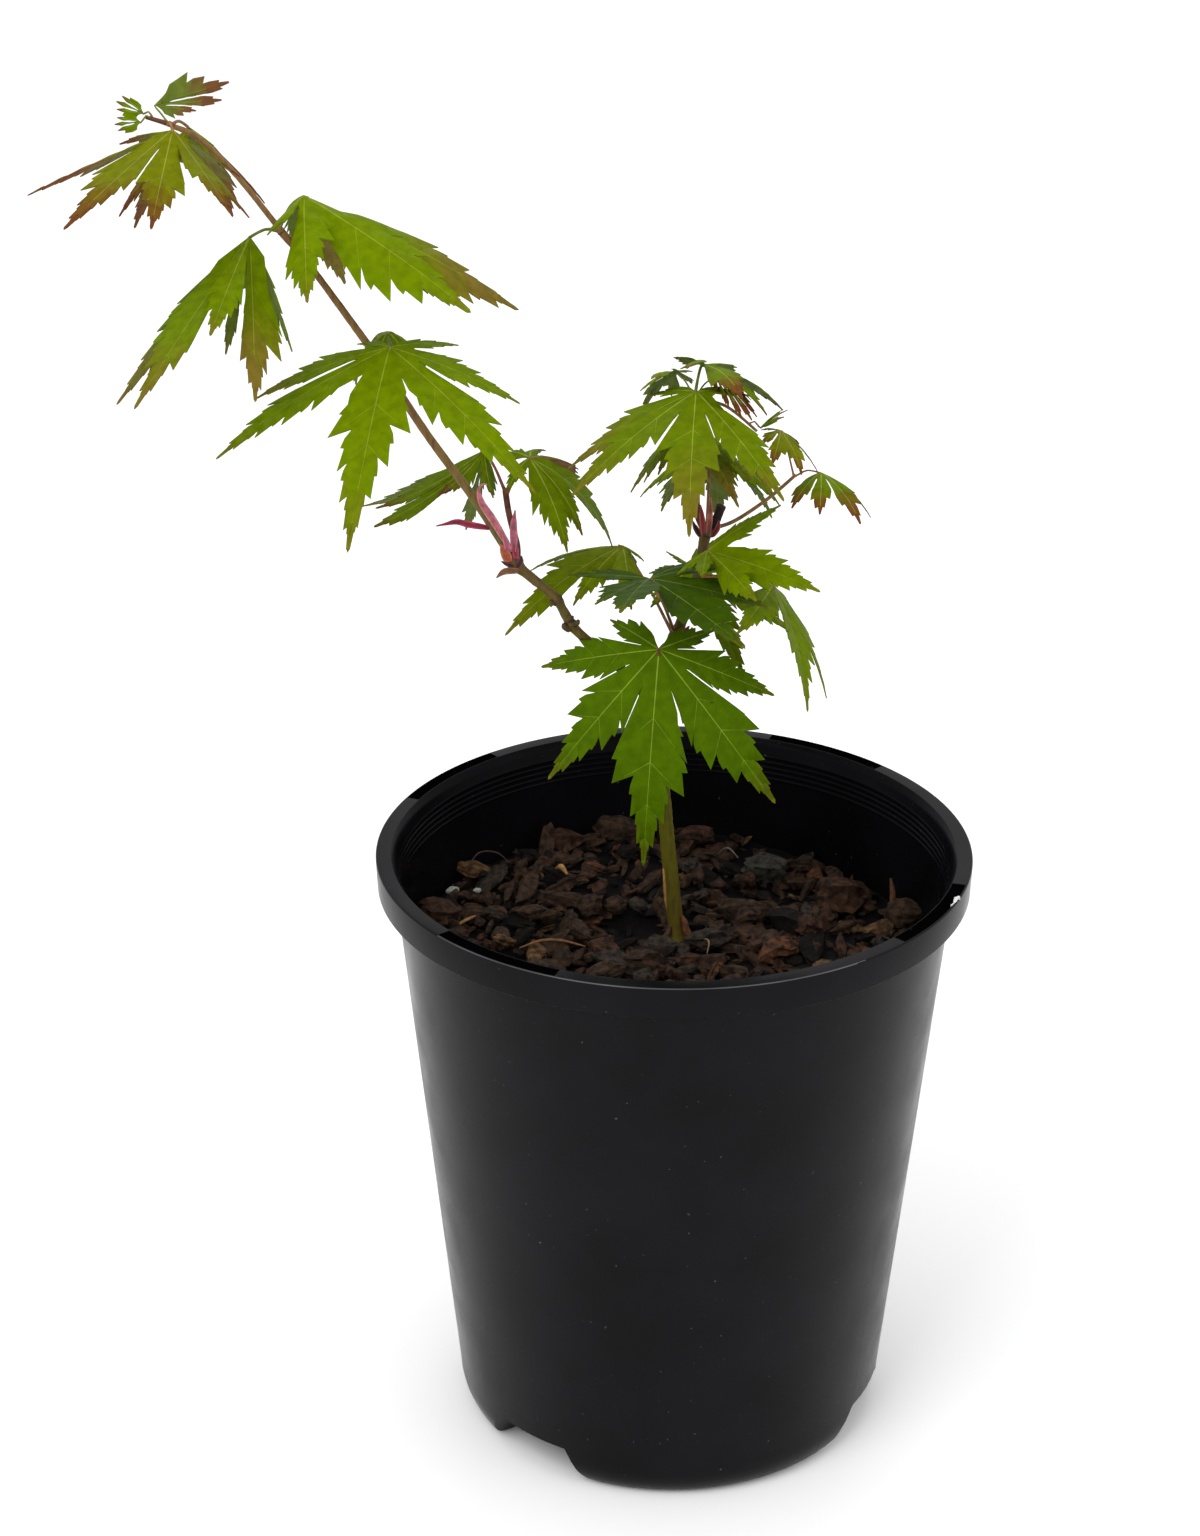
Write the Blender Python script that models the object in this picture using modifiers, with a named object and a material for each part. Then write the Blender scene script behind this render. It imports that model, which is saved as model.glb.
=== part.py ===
# A young Japanese maple in a round black nursery pot.
# Metres, +Z up. The origin is the centre of the pot's flat underside, and -Y is the front.

import math
import random
from dataclasses import dataclass, field

import bmesh
import bpy
from mathutils import Euler, Vector
from mathutils.bvhtree import BVHTree

MM = 0.001
CLEAR = 0.3 * MM
SLIVER = 0.01 * MM

# Pot, turned
POT_HEIGHT = 148.5 * MM
RIM_RADIUS = 70.0 * MM
LIP_WIDTH = 4.0 * MM
SKIRT_DEPTH = 7.8 * MM
SKIRT_WALL = 1.4 * MM
SKIRT_DRAFT = 0.3 * MM
LIP_WALL = 1.3 * MM
WALL = 1.2 * MM
SHOULDER_RADIUS = 65.65 * MM
HEEL_RADIUS = 52.5 * MM
HEEL_HEIGHT = 9.0 * MM
FOOT_RADIUS = 47.4 * MM
INNER_FLOOR = 12.0 * MM
POT_STEPS = 48

# Recesses pressed into the lip
RECESS_TURNS = (-30.2, 54.3, 143.6, 233.4)
RECESS_ARC = 27
RECESS_DEPTH = 1.0 * MM

# Drain notches between the feet, by their turn round the pot
NOTCH_TURNS = (-130.5, -21, 104)
NOTCH_TOP = 10.0 * MM
NOTCH_INNER_RADIUS = 38.0 * MM
NOTCH_HALF_ARC_BOTTOM = 19
NOTCH_HALF_ARC_TOP = 11

# Bark mix that fills the pot
MIX_TOP = 120.2 * MM
CHIP_COUNT = 46
CHIP_LENGTH = (7.0 * MM, 12.0 * MM)
STEM_CLEARANCE = 7.0 * MM

# Leaf blade: turn of each lobe from the middle one, and its length as a share of the leaf's size
LOBE_TURNS = (-124, -80, -40, 0, 40, 80, 124)
LOBE_LENGTHS = (0.36, 0.70, 0.92, 1.0, 0.92, 0.70, 0.36)
MIDDLE = 3
SINUS = 0.36
SINUS_GAP = 0.35 * MM
FOLD = 0.16
STEEPEST = 1.2
BLADE_THICKNESS = 0.7 * MM
SMALL_LEAF = 21 * MM
SMALL_BLADE_THICKNESS = 0.45 * MM
STALK_RADIUS = 0.6 * MM
STALK_GRIP = 3.0 * MM

# Half width of a lobe at each share of its length, with the notch under its last big tooth
LOBE_ROWS = ((0.36, 0.150), (0.50, 0.175), (0.63, 0.105), (0.70, 0.120), (1.0, 0.0))
SHORT_LOBE_ROWS = ((0.36, 0.150), (0.60, 0.150), (1.0, 0.0))

# Limbs: points in mm with the radius there
TRUNK = (
    ((1.0, 9.0, 120.5), 2.9),
    ((1.0, 9.0, 123.0), 2.2),
    ((0.3, 9.0, 130.0), 2.0),
    ((-1.9, 9.0, 153.2), 1.9),
    ((-3.2, 9.0, 166.7), 1.8),
    ((-4.1, 9.0, 182.1), 1.9),
)
LEFT_BOUGH = (
    ((-4.1, 9.0, 182.1), 1.5),
    ((-12.7, 8.0, 190.7), 1.3),
    ((-19.9, 7.0, 197.8), 1.3),
    ((-24.5, 6.5, 202.3), 1.5),
    ((-27.0, 6.0, 208.2), 1.3),
    ((-34.9, 5.5, 215.5), 1.35),
    ((-36.3, 5.0, 217.4), 1.6),
    ((-39.8, 5.0, 223.2), 1.15),
    ((-46.6, 4.0, 235.1), 1.0),
    ((-56.6, 3.0, 250.4), 0.95),
    ((-68.2, 2.0, 270.0), 1.0),
    ((-80.3, 1.0, 288.4), 0.8),
    ((-86.5, 1.0, 296.4), 0.9),
    ((-95.5, 0.0, 309.0), 0.65),
    ((-103.3, 0.0, 317.1), 0.6),
    ((-106.6, 0.0, 318.8), 0.6),
)
RIGHT_BOUGH = (
    ((-4.1, 9.0, 182.1), 1.5),
    ((-2.4, 9.5, 189.0), 1.4),
    ((0.0, 10.0, 197.4), 1.6),
    ((1.6, 11.0, 201.4), 1.3),
    ((5.2, 12.0, 212.0), 1.25),
    ((7.0, 13.0, 222.2), 1.8),
    ((8.6, 13.0, 225.0), 1.3),
    ((10.3, 13.0, 228.5), 1.1),
)


@dataclass
class Leaf:
    """One palmate leaf. Lengths in mm, angles in degrees; lobes are counted 0 to 6 from one base to the other.

    sag is how steeply the outer half of a side lobe drops away from its midrib.
    """

    hub: tuple
    root: tuple
    heading: float
    pitch: float
    size: float
    roll: float = 0
    fall: float = 10
    curl: float = 20
    hang: float = 0
    spread: float = 1
    arch: float = 1.0
    sag: float = 0.7
    swing: dict = field(default_factory=dict)
    reach: dict = field(default_factory=dict)
    droop: dict = field(default_factory=dict)
    lobes: tuple = tuple(range(7))


# Each mass: its limb, its own shoots, and its leaves
MASSES = {
    "terminal_leaves": {
        "limb": "left_bough",
        "shoots": [(((-106.6, 0.0, 318.8), 0.6), ((-110.0, 0.0, 320.3), 0.6), ((-114.2, 0.0, 321.6), 0.5))],
        "leaves": [
            Leaf((-108, -5, 320), (-109.5, 0, 320.1), 260, -5, 42, roll=5, fall=25, curl=5, hang=-5, spread=0.9,
                 sag=0.5, swing={4: -15, 3: -10, 2: -10, 1: -5},
                 reach={5: 1.15, 4: 1.0, 3: 0.8, 2: 0.75, 1: 0.85, 0: 1.15}, droop={5: 5, 1: 15, 0: 10}),
            Leaf((-106, 6, 318), (-109.0, 0, 320.0), 115, 5, 35, fall=40, curl=15, sag=0.5,
                 swing={3: -20, 2: -10}, reach={5: 1.05, 3: 0.95, 2: 0.8}),
            Leaf((-112.3, 1, 324), (-109.6, 0, 320.4), 0, -18, 17, roll=75, fall=0, curl=5,
                 spread=0.35, arch=0, reach={2: 0.92, 1: 0.75}, lobes=(1, 2, 3)),
            Leaf((-114.8, 1, 322.2), (-112.5, 0, 321.1), 180, -25, 6, roll=60, fall=0, curl=5, spread=0.4,
                 lobes=(2, 3, 4)),
            Leaf((-115.2, -1, 320.8), (-113.0, 0, 321.2), 180, 5, 5.5, roll=60, fall=0, curl=5, spread=0.4,
                 lobes=(2, 3, 4)),
        ],
    },
    "upper_left_leaf": {
        "limb": "left_bough",
        "leaves": [
            Leaf((-93, -2, 296), (-86.5, 1, 296.4), 210, -20, 53, roll=-25, fall=50, curl=5, hang=-5, sag=0.5,
                 swing={3: -15, 2: -5, 1: 5, 0: -30},
                 reach={5: 0.7, 4: 0.95, 2: 0.75, 1: 1.15, 0: 1.4}, droop={5: 30, 4: 5, 3: 5, 1: 20, 0: 20}),
        ],
    },
    "upper_right_leaf": {
        "limb": "left_bough",
        "leaves": [
            Leaf((-81, -2, 305), (-86.9, 1, 297.0), 20, 0, 56, fall=25, curl=10, sag=3.0, arch=1.5,
                 swing={6: 15, 5: 25, 4: 10, 3: 15, 2: 25, 1: 35, 0: 35},
                 reach={6: 0.75, 5: 0.8, 4: 0.9, 3: 0.95, 2: 0.9, 1: 0.75, 0: 0.9},
                 droop={6: -10, 4: -5, 2: 10, 1: 25, 0: 15}),
        ],
    },
    "middle_front_leaf": {
        "limb": "left_bough",
        "leaves": [
            Leaf((-63, -8, 273), (-68.2, 2, 270), 265, 20, 49, fall=10, curl=20, sag=0.2,
                 swing={4: 20, 3: 5, 2: -10}, reach={6: 0.6, 5: 0.95, 3: 1.05, 2: 1.05, 1: 0.9}),
        ],
    },
    "middle_back_leaf": {
        "limb": "left_bough",
        "leaves": [
            Leaf((-64.5, 10, 271), (-68.2, 2, 270), 100, -20, 27, roll=5, fall=40, curl=40,
                 swing={5: -20, 1: 20}),
        ],
    },
    "side_shoot_leaves": {
        "limb": "left_bough",
        "shoots": [
            (((-36.3, 5.0, 217.4), 0.8), ((-36.3, 7.8, 221.0), 0.9), ((-38.0, 9.0, 228.0), 0.8),
             ((-38.9, 12.0, 232.8), 0.8)),
        ],
        "leaves": [
            Leaf((-44, 22, 239), (-38.9, 12, 232.5), 175, -10, 33, roll=-15, fall=45, curl=-25, hang=5, sag=0.5,
                 swing={4: -15, 3: -30, 2: -5, 1: 20, 0: 10},
                 reach={5: 0.9, 4: 1.15, 3: 0.9, 2: 1.15, 1: 0.8, 0: 1.25}, droop={6: 40, 5: 35}),
            Leaf((-33.5, 14, 240), (-38.7, 11.5, 232), 5, 5, 30, roll=-15, fall=25, curl=45, hang=-15,
                 swing={4: -5, 2: -10, 5: -20}, reach={3: 1.1, 4: 0.8, 5: 1.15}),
        ],
    },
    "centre_left_leaf": {
        "limb": "right_bough",
        "leaves": [
            Leaf((-12, 26, 214), (0, 10, 197.4), 195, 0, 32, fall=10, curl=30, hang=-5,
                 swing={3: -20}, reach={3: 1.15, 4: 0.9, 2: 0.75, 0: 0.6}, droop={5: 25, 6: 30}),
        ],
    },
    "centre_flat_leaf": {
        "limb": "right_bough",
        "leaves": [
            Leaf((-6, 0, 216), (0.2, 10.1, 198), 300, -5, 39, roll=5, fall=0, curl=10, hang=-5, sag=0.0,
                 swing={2: 10, 0: 15, 5: -20}, reach={2: 0.85, 0: 1.1, 5: 0.9, 6: 1.35}, droop={1: -5, 3: 5, 4: -5}),
        ],
    },
    "front_leaf": {
        "limb": "right_bough",
        "leaves": [
            Leaf((-4, -8, 202), (-0.5, 9.8, 195.8), 260, 55, 49, roll=5, fall=15, curl=20, hang=10, sag=0.2,
                 swing={5: 5, 2: -5}, reach={6: 1.1, 4: 0.95, 3: 1.05, 2: 1.05, 1: 0.95}),
        ],
    },
    "centre_right_leaf": {
        "limb": "right_bough",
        "leaves": [
            Leaf((7, 2, 222), (5.6, 12.2, 214.5), 340, 0, 27, roll=-25, fall=-5, curl=15, hang=-5,
                 swing={3: 10, 2: -5, 4: 5, 5: -5, 6: -5}, reach={3: 1.05, 2: 0.8, 5: 0.8},
                 droop={3: 5, 2: -10, 4: -10, 5: -20, 6: 5}, lobes=(2, 3, 4, 5, 6)),
        ],
    },
    "low_right_leaf": {
        "limb": "right_bough",
        "leaves": [
            Leaf((22, 6, 212), (5.2, 12, 212), 300, 25, 32, roll=40, fall=5, curl=25, sag=-0.15,
                 swing={4: 10}, reach={3: 1.05, 4: 0.95, 5: 0.8, 6: 0.8}, droop={5: -10}),
        ],
    },
    "centre_back_leaf": {
        "limb": "right_bough",
        "leaves": [
            Leaf((4, 27, 208.5), (0.9, 10.5, 199.5), 295, 35, 33, roll=10, fall=-5, curl=5, hang=-5,
                 swing={4: 15}, reach={4: 0.7, 5: 0.6, 6: 0.6}),
        ],
    },
    "right_crown_leaves": {
        "limb": "right_bough",
        "shoots": [
            (((6.6, 12.8, 222.8), 0.9), ((4.8, 12.2, 228.0), 0.95), ((4.6, 11.6, 238.0), 0.9),
             ((4.3, 11.0, 246.0), 0.9), ((3.9, 10.0, 256.7), 0.85)),
            (((3.9, 10.0, 255.5), 0.6), ((11.0, 12.0, 253.0), 0.55), ((18.1, 12.0, 247.1), 0.5)),
        ],
        "leaves": [
            Leaf((4, 4, 259), (3.9, 10, 255.5), 265, 15, 42, roll=-5, fall=5, curl=20, hang=5, sag=0.1,
                 swing={5: -5, 4: 5, 2: 5, 1: 15}, reach={5: 1.15, 2: 0.95}, droop={5: 5, 4: -5, 1: 35, 0: 5}),
            Leaf((-0.5, 12, 261), (3.9, 10, 255.5), 150, 25, 12, roll=-20, fall=10, curl=40, hang=-20,
                 swing={2: -5, 4: 5}, reach={2: 0.85, 3: 1.05, 4: 0.9}),
            Leaf((5.5, 14, 262), (3.9, 10, 256), 335, 0, 22, roll=20, fall=10, curl=35, hang=-25,
                 swing={2: 15}, reach={2: 1.05, 3: 0.9, 4: 1.1}),
            Leaf((8.5, 10, 260.5), (3.9, 10, 255.5), 325, 10, 14, roll=5, fall=10, curl=25, spread=0.4,
                 swing={3: 10, 2: 15, 4: 5}, reach={2: 1.05}),
            Leaf((19.0, 12.5, 247.8), (16.0, 12, 248.8), 0, -45, 7, fall=0, curl=20, spread=0.6, lobes=(2, 3, 4)),
            Leaf((3, 16, 248.5), (4.3, 11, 247), 250, 0, 27, roll=-10, fall=10, curl=20, hang=30, arch=0.7,
                 swing={4: -5, 3: 10}, reach={4: 0.9, 3: 0.7, 2: 1.15, 1: 1.05}),
        ],
    },
    "right_back_leaf": {
        "limb": "right_bough",
        "leaves": [
            Leaf((8, 24, 238), (7.2, 13.2, 223), 80, 10, 30, fall=25, curl=40, hang=-10),
        ],
    },
    "right_shoot_leaves": {
        "limb": "right_bough",
        "shoots": [
            (((7.6, 13.0, 223.2), 0.7), ((13.2, 14.0, 224.6), 0.7), ((21.0, 15.3, 229.6), 0.65),
             ((27.4, 16.0, 235.2), 0.6)),
        ],
        "leaves": [
            Leaf((33, 14, 236.5), (27.0, 16, 234.8), 315, -5, 17, roll=15, fall=15, curl=35, hang=5, sag=0.2,
                 swing={4: 5, 3: 5}, reach={5: 1.15, 4: 0.95, 3: 1.05}),
            Leaf((23.5, 14, 246.5), (27.0, 16, 234.8), 315, 15, 13, roll=20, fall=10, curl=30, hang=-5, sag=0.2,
                 swing={5: -5, 4: 10, 3: 10, 2: 5}, reach={5: 0.9, 4: 1.15, 2: 1.1}),
        ],
    },
}

COLOURS = {
    "pot": ((0.016, 0.016, 0.018), 0.32),
    "mix": ((0.060, 0.035, 0.022), 0.90),
    "bark": ((0.105, 0.085, 0.040), 0.60),
    "leaf": ((0.130, 0.290, 0.022), 0.45),
}


def clear_scene():
    for obj in list(bpy.data.objects):
        bpy.data.objects.remove(obj, do_unlink=True)


def collection_named(name):
    collection = bpy.data.collections.new(name)
    bpy.context.scene.collection.children.link(collection)
    return collection


def material_for(name, finish):
    colour, roughness = COLOURS[finish]
    material = bpy.data.materials.new(name + "_" + finish)
    material.use_nodes = True
    shader = material.node_tree.nodes["Principled BSDF"]
    shader.inputs["Base Color"].default_value = (*colour, 1.0)
    shader.inputs["Roughness"].default_value = roughness
    shader.inputs["Metallic"].default_value = 0.0
    return material


def object_from_bmesh(name, mesh_data, collection):
    mesh = bpy.data.meshes.new(name)
    mesh_data.to_mesh(mesh)
    mesh_data.free()
    obj = bpy.data.objects.new(name, mesh)
    collection.objects.link(obj)
    return obj


def hide_as_helper(obj):
    obj.hide_render = True
    obj.display_type = "WIRE"


def apply_modifiers(obj):
    """The object's evaluated mesh becomes its own, and its modifiers go."""
    bpy.context.view_layer.update()
    graph = bpy.context.evaluated_depsgraph_get()
    mesh = bpy.data.meshes.new_from_object(obj.evaluated_get(graph))
    obj.modifiers.clear()
    obj.data = mesh


def turned(name, profile, collection, steps=POT_STEPS):
    """A profile of (radius, height) points, in to out and down, turned round Z."""
    mesh = bpy.data.meshes.new(name)
    points = [(radius, 0.0, height) for radius, height in profile]
    edges = [(i, i + 1) for i in range(len(points) - 1)]
    mesh.from_pydata(points, edges, [])
    obj = bpy.data.objects.new(name, mesh)
    collection.objects.link(obj)
    screw = obj.modifiers.new("turn", "SCREW")
    screw.axis = "Z"
    screw.steps = steps
    screw.render_steps = steps
    screw.use_merge_vertices = True
    screw.merge_threshold = 0.00001
    screw.use_smooth_shade = False
    return obj


def boolean(obj, operation, collection, solver="EXACT"):
    cut = obj.modifiers.new(operation.lower(), "BOOLEAN")
    cut.operation = operation
    cut.operand_type = "COLLECTION"
    cut.collection = collection
    cut.solver = solver


def wall_radius(height):
    """Outer radius of the pot's tapering wall at a height."""
    rise = (height - HEEL_HEIGHT) / (POT_HEIGHT - SKIRT_DEPTH - HEEL_HEIGHT)
    return HEEL_RADIUS + (SHOULDER_RADIUS - HEEL_RADIUS) * rise


def pot_profile():
    lip_under = POT_HEIGHT - LIP_WALL
    skirt_bottom = POT_HEIGHT - SKIRT_DEPTH
    lip_inner = RIM_RADIUS - LIP_WIDTH
    edge = 0.8 * MM
    heel_sweep = [
        (FOOT_RADIUS + (HEEL_RADIUS - FOOT_RADIUS) * math.sin(turn), HEEL_HEIGHT * (1 - math.cos(turn)))
        for turn in (math.radians(60), math.radians(30), 0.0)
    ]
    return [
        (0.0, INNER_FLOOR),
        (wall_radius(INNER_FLOOR) - WALL, INNER_FLOOR),
        (wall_radius(lip_under) - WALL, lip_under),
        (lip_inner, POT_HEIGHT),
        (RIM_RADIUS - edge, POT_HEIGHT),
        (RIM_RADIUS, POT_HEIGHT - edge),
        (RIM_RADIUS - SKIRT_DRAFT, skirt_bottom),
        (RIM_RADIUS - SKIRT_DRAFT - SKIRT_WALL, skirt_bottom),
        (RIM_RADIUS - SKIRT_WALL, lip_under),
        (wall_radius(lip_under), lip_under),
        (HEEL_RADIUS, HEEL_HEIGHT),
        *heel_sweep,
        (0.0, 0.0),
    ]


def ring_cutter(name, turn, half_arc_low, half_arc_high, radii, heights, collection, steps=6):
    """A piece of ring round the pot's axis, whose two ends may slant."""
    mesh_data = bmesh.new()
    bmesh.ops.create_grid(mesh_data, x_segments=steps, y_segments=1, size=0.5)
    for vertex in mesh_data.verts:
        vertex.co.x += 0.5
        vertex.co.y += 0.5
    thick = bmesh.ops.extrude_face_region(mesh_data, geom=list(mesh_data.faces))
    for item in thick["geom"]:
        if isinstance(item, bmesh.types.BMVert):
            item.co.z += 1.0
    for vertex in mesh_data.verts:
        across, out, up = vertex.co
        half_arc = half_arc_low + (half_arc_high - half_arc_low) * up
        angle = math.radians(turn + half_arc * (2 * across - 1))
        radius = radii[0] + (radii[1] - radii[0]) * out
        height = heights[0] + (heights[1] - heights[0]) * up
        vertex.co = (radius * math.cos(angle), radius * math.sin(angle), height)
    bmesh.ops.recalc_face_normals(mesh_data, faces=mesh_data.faces)
    if mesh_data.calc_volume(signed=True) < 0:
        bmesh.ops.reverse_faces(mesh_data, faces=mesh_data.faces)
    cutter = object_from_bmesh(name, mesh_data, collection)
    hide_as_helper(cutter)
    return cutter


def make_pot(parts, cutters):
    pot = turned("pot", pot_profile(), parts)
    for index, turn in enumerate(NOTCH_TURNS):
        ring_cutter(f"notch_{index}", turn, NOTCH_HALF_ARC_BOTTOM, NOTCH_HALF_ARC_TOP,
                    (NOTCH_INNER_RADIUS, RIM_RADIUS), (-1 * MM, NOTCH_TOP), cutters)
    lip_inner = RIM_RADIUS - LIP_WIDTH
    for index, turn in enumerate(RECESS_TURNS):
        ring_cutter(f"recess_{index}", turn, RECESS_ARC / 2, RECESS_ARC / 2,
                    (lip_inner - 2 * MM, lip_inner + 2.2 * MM),
                    (POT_HEIGHT - RECESS_DEPTH, POT_HEIGHT + 1 * MM), cutters)
    boolean(pot, "DIFFERENCE", cutters)
    pot.data.materials.append(material_for("pot", "pot"))


def bark_chip(name, place, draw, collection):
    """A split flake of bark: a long block with its corners pushed about."""
    mesh_data = bmesh.new()
    bmesh.ops.create_cube(mesh_data, size=1.0)
    length = draw.uniform(*CHIP_LENGTH)
    size = Vector((length, length * draw.uniform(0.5, 0.75), length * draw.uniform(0.3, 0.45)))
    lean = Euler((draw.uniform(-0.5, 0.5), draw.uniform(-0.4, 0.4), draw.uniform(0, math.tau)))
    widest = wall_radius(MIX_TOP) - WALL - 2.5 * CLEAR
    for vertex in mesh_data.verts:
        shift = Vector([draw.uniform(-0.14, 0.14) for _ in range(3)])
        vertex.co = (vertex.co + shift) * size
        vertex.co.rotate(lean)
        vertex.co += place
        out = math.hypot(vertex.co.x, vertex.co.y)
        if out > widest:
            vertex.co.x *= widest / out
            vertex.co.y *= widest / out
    return object_from_bmesh(name, mesh_data, collection)


def drop_slivers(obj):
    """Points closer than a hundredth of a millimetre become one."""
    mesh_data = bmesh.new()
    mesh_data.from_mesh(obj.data)
    bmesh.ops.triangulate(mesh_data, faces=mesh_data.faces)
    bmesh.ops.dissolve_degenerate(mesh_data, edges=mesh_data.edges, dist=SLIVER)
    bmesh.ops.remove_doubles(mesh_data, verts=mesh_data.verts, dist=SLIVER)
    mesh_data.to_mesh(obj.data)
    mesh_data.free()


def closed(mesh):
    """Whether the mesh has faces, and two of them at each edge."""
    mesh_data = bmesh.new()
    mesh_data.from_mesh(mesh)
    whole = len(mesh_data.faces) > 0 and all(edge.is_manifold for edge in mesh_data.edges)
    mesh_data.free()
    return whole


def fuse(obj, helpers):
    """The collection's objects are joined to the object and removed."""
    start = obj.data
    for solver in ("EXACT", "MANIFOLD"):
        obj.data = start.copy()
        boolean(obj, "UNION", helpers, solver)
        apply_modifiers(obj)
        drop_slivers(obj)
        if closed(obj.data):
            break
    for helper in list(helpers.objects):
        bpy.data.objects.remove(helper, do_unlink=True)


def make_mix(parts, helpers):
    draw = random.Random(7)
    top_radius = wall_radius(MIX_TOP) - WALL - CLEAR / math.cos(math.pi / POT_STEPS)
    low_height = INNER_FLOOR + CLEAR
    low_radius = wall_radius(low_height) - WALL - CLEAR / math.cos(math.pi / POT_STEPS)
    profile = [(0.0, MIX_TOP), (top_radius, MIX_TOP), (low_radius, low_height), (0.0, low_height)]
    mix = turned("potting_mix", profile, parts)
    apply_modifiers(mix)
    foot = Vector(TRUNK[0][0]) * MM
    golden = math.radians(137.5)
    for index in range(CHIP_COUNT):
        out = (top_radius - 3.5 * MM) * math.sqrt((index + 0.5) / CHIP_COUNT)
        turn = index * golden
        lift = draw.uniform(-0.3, 1.2) * MM
        place = Vector((out * math.cos(turn), out * math.sin(turn), MIX_TOP + lift))
        if (place - foot).length > STEM_CLEARANCE + CHIP_LENGTH[1] / 2:
            bark_chip(f"chip_{index}", place, draw, helpers)
    fuse(mix, helpers)
    mix.data.materials.append(material_for("potting_mix", "mix"))


def tube(name, stations, collection, sides):
    """A tapering limb through (point, radius) stations, closed at both ends."""
    curve = bpy.data.curves.new(name, "CURVE")
    curve.dimensions = "3D"
    curve.bevel_depth = 1.0
    curve.bevel_resolution = sides // 2 - 2
    curve.use_fill_caps = True
    spline = curve.splines.new("POLY")
    spline.points.add(len(stations) - 1)
    for point, (place, radius) in zip(spline.points, stations):
        point.co = (*place, 1.0)
        point.radius = radius
    guide = bpy.data.objects.new(name + "_guide", curve)
    collection.objects.link(guide)
    bpy.context.view_layer.update()
    graph = bpy.context.evaluated_depsgraph_get()
    mesh = bpy.data.meshes.new_from_object(guide.evaluated_get(graph))
    mesh.name = name
    mesh_data = bmesh.new()
    mesh_data.from_mesh(mesh)
    bmesh.ops.remove_doubles(mesh_data, verts=mesh_data.verts, dist=0.00001)
    bmesh.ops.recalc_face_normals(mesh_data, faces=mesh_data.faces)
    mesh_data.to_mesh(mesh)
    mesh_data.free()
    obj = bpy.data.objects.new(name, mesh)
    obj.matrix_world = guide.matrix_world
    collection.objects.link(obj)
    bpy.data.objects.remove(guide, do_unlink=True)
    return obj


def stations_of(limb, extra=0.0):
    return [(Vector(place) * MM, radius * MM + extra) for place, radius in limb]


def make_limbs(parts, cutters):
    """Trunk and boughs. Each bough starts in the fork and is cut clear of the limbs under it."""
    limbs = {}
    limbs["trunk"] = tube("trunk", stations_of(TRUNK), parts, 12)
    limbs["right_bough"] = tube("right_bough", stations_of(RIGHT_BOUGH), parts, 10)
    limbs["left_bough"] = tube("left_bough", stations_of(LEFT_BOUGH), parts, 8)
    trunk_stations = stations_of(TRUNK, CLEAR)
    trunk_stations[-1][0].z += CLEAR
    bough_stations = stations_of(RIGHT_BOUGH, CLEAR)
    first, second = bough_stations[0][0], bough_stations[1][0]
    first -= (second - first).normalized() * bough_stations[0][1]
    for name, keep_off in (("right_bough", [trunk_stations]), ("left_bough", [trunk_stations, bough_stations])):
        for index, stations in enumerate(keep_off):
            tube(f"{name}_seat_{index}", stations, cutters, 12)
        boolean(limbs[name], "DIFFERENCE", cutters)
        apply_modifiers(limbs[name])
        for cutter in list(cutters.objects):
            bpy.data.objects.remove(cutter, do_unlink=True)
    for name, limb in limbs.items():
        limb.data.materials.append(material_for(name, "bark"))
    return limbs


def blade_axes(leaf):
    """The leaf's side, forward and up directions."""
    heading = math.radians(leaf.heading)
    pitch = math.radians(leaf.pitch)
    roll = math.radians(leaf.roll)
    forward = Vector((math.cos(heading) * math.cos(pitch), math.sin(heading) * math.cos(pitch), -math.sin(pitch)))
    level_side = Vector((math.sin(heading), -math.cos(heading), 0.0))
    level_up = level_side.cross(forward)
    side = level_side * math.cos(roll) + level_up * math.sin(roll)
    return side, forward, side.cross(forward)


def lobe_turn(leaf, lobe):
    return LOBE_TURNS[lobe] * leaf.spread + leaf.swing.get(lobe, 0)


def lobe_length(leaf, lobe):
    return leaf.size * MM * LOBE_LENGTHS[lobe] * leaf.reach.get(lobe, 1.0)


def bent(leaf, lobe, share):
    """How far out and how far up the midrib is at a share of the lobe's length, in lobe lengths."""
    turn = abs(lobe_turn(leaf, lobe))
    start = math.radians(leaf.fall + leaf.droop.get(lobe, 0) + leaf.hang * min(turn / 90, 1.3))
    bend = math.radians(leaf.curl)
    out = (math.sin(start + bend * share) - math.sin(start)) / bend
    up = (math.cos(start + bend * share) - math.cos(start)) / bend
    return out, up


def on_lobe(leaf, lobe, share, across):
    """The point of the blade at a share of a lobe's length and a distance beside its midrib."""
    side, forward, up = blade_axes(leaf)
    turn = math.radians(lobe_turn(leaf, lobe))
    along = side * math.sin(turn) + forward * math.cos(turn)
    beside = side * math.cos(turn) - forward * math.sin(turn)
    out, rise = bent(leaf, lobe, share)
    length = lobe_length(leaf, lobe)
    lift = FOLD * abs(across)
    if across * turn > 0:
        lift = -min(leaf.sag * min(abs(turn), 1.0), STEEPEST) * abs(across)
    return Vector(leaf.hub) * MM + along * (out * length) + beside * across + up * (rise * length + lift)


def half_gap(leaf, lobe, way):
    """Half of the angle to the next lobe on that side, or none at the leaf's base."""
    other = lobe + way
    if other not in leaf.lobes:
        return None
    return math.radians(abs(lobe_turn(leaf, other) - lobe_turn(leaf, lobe))) / 2


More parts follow.
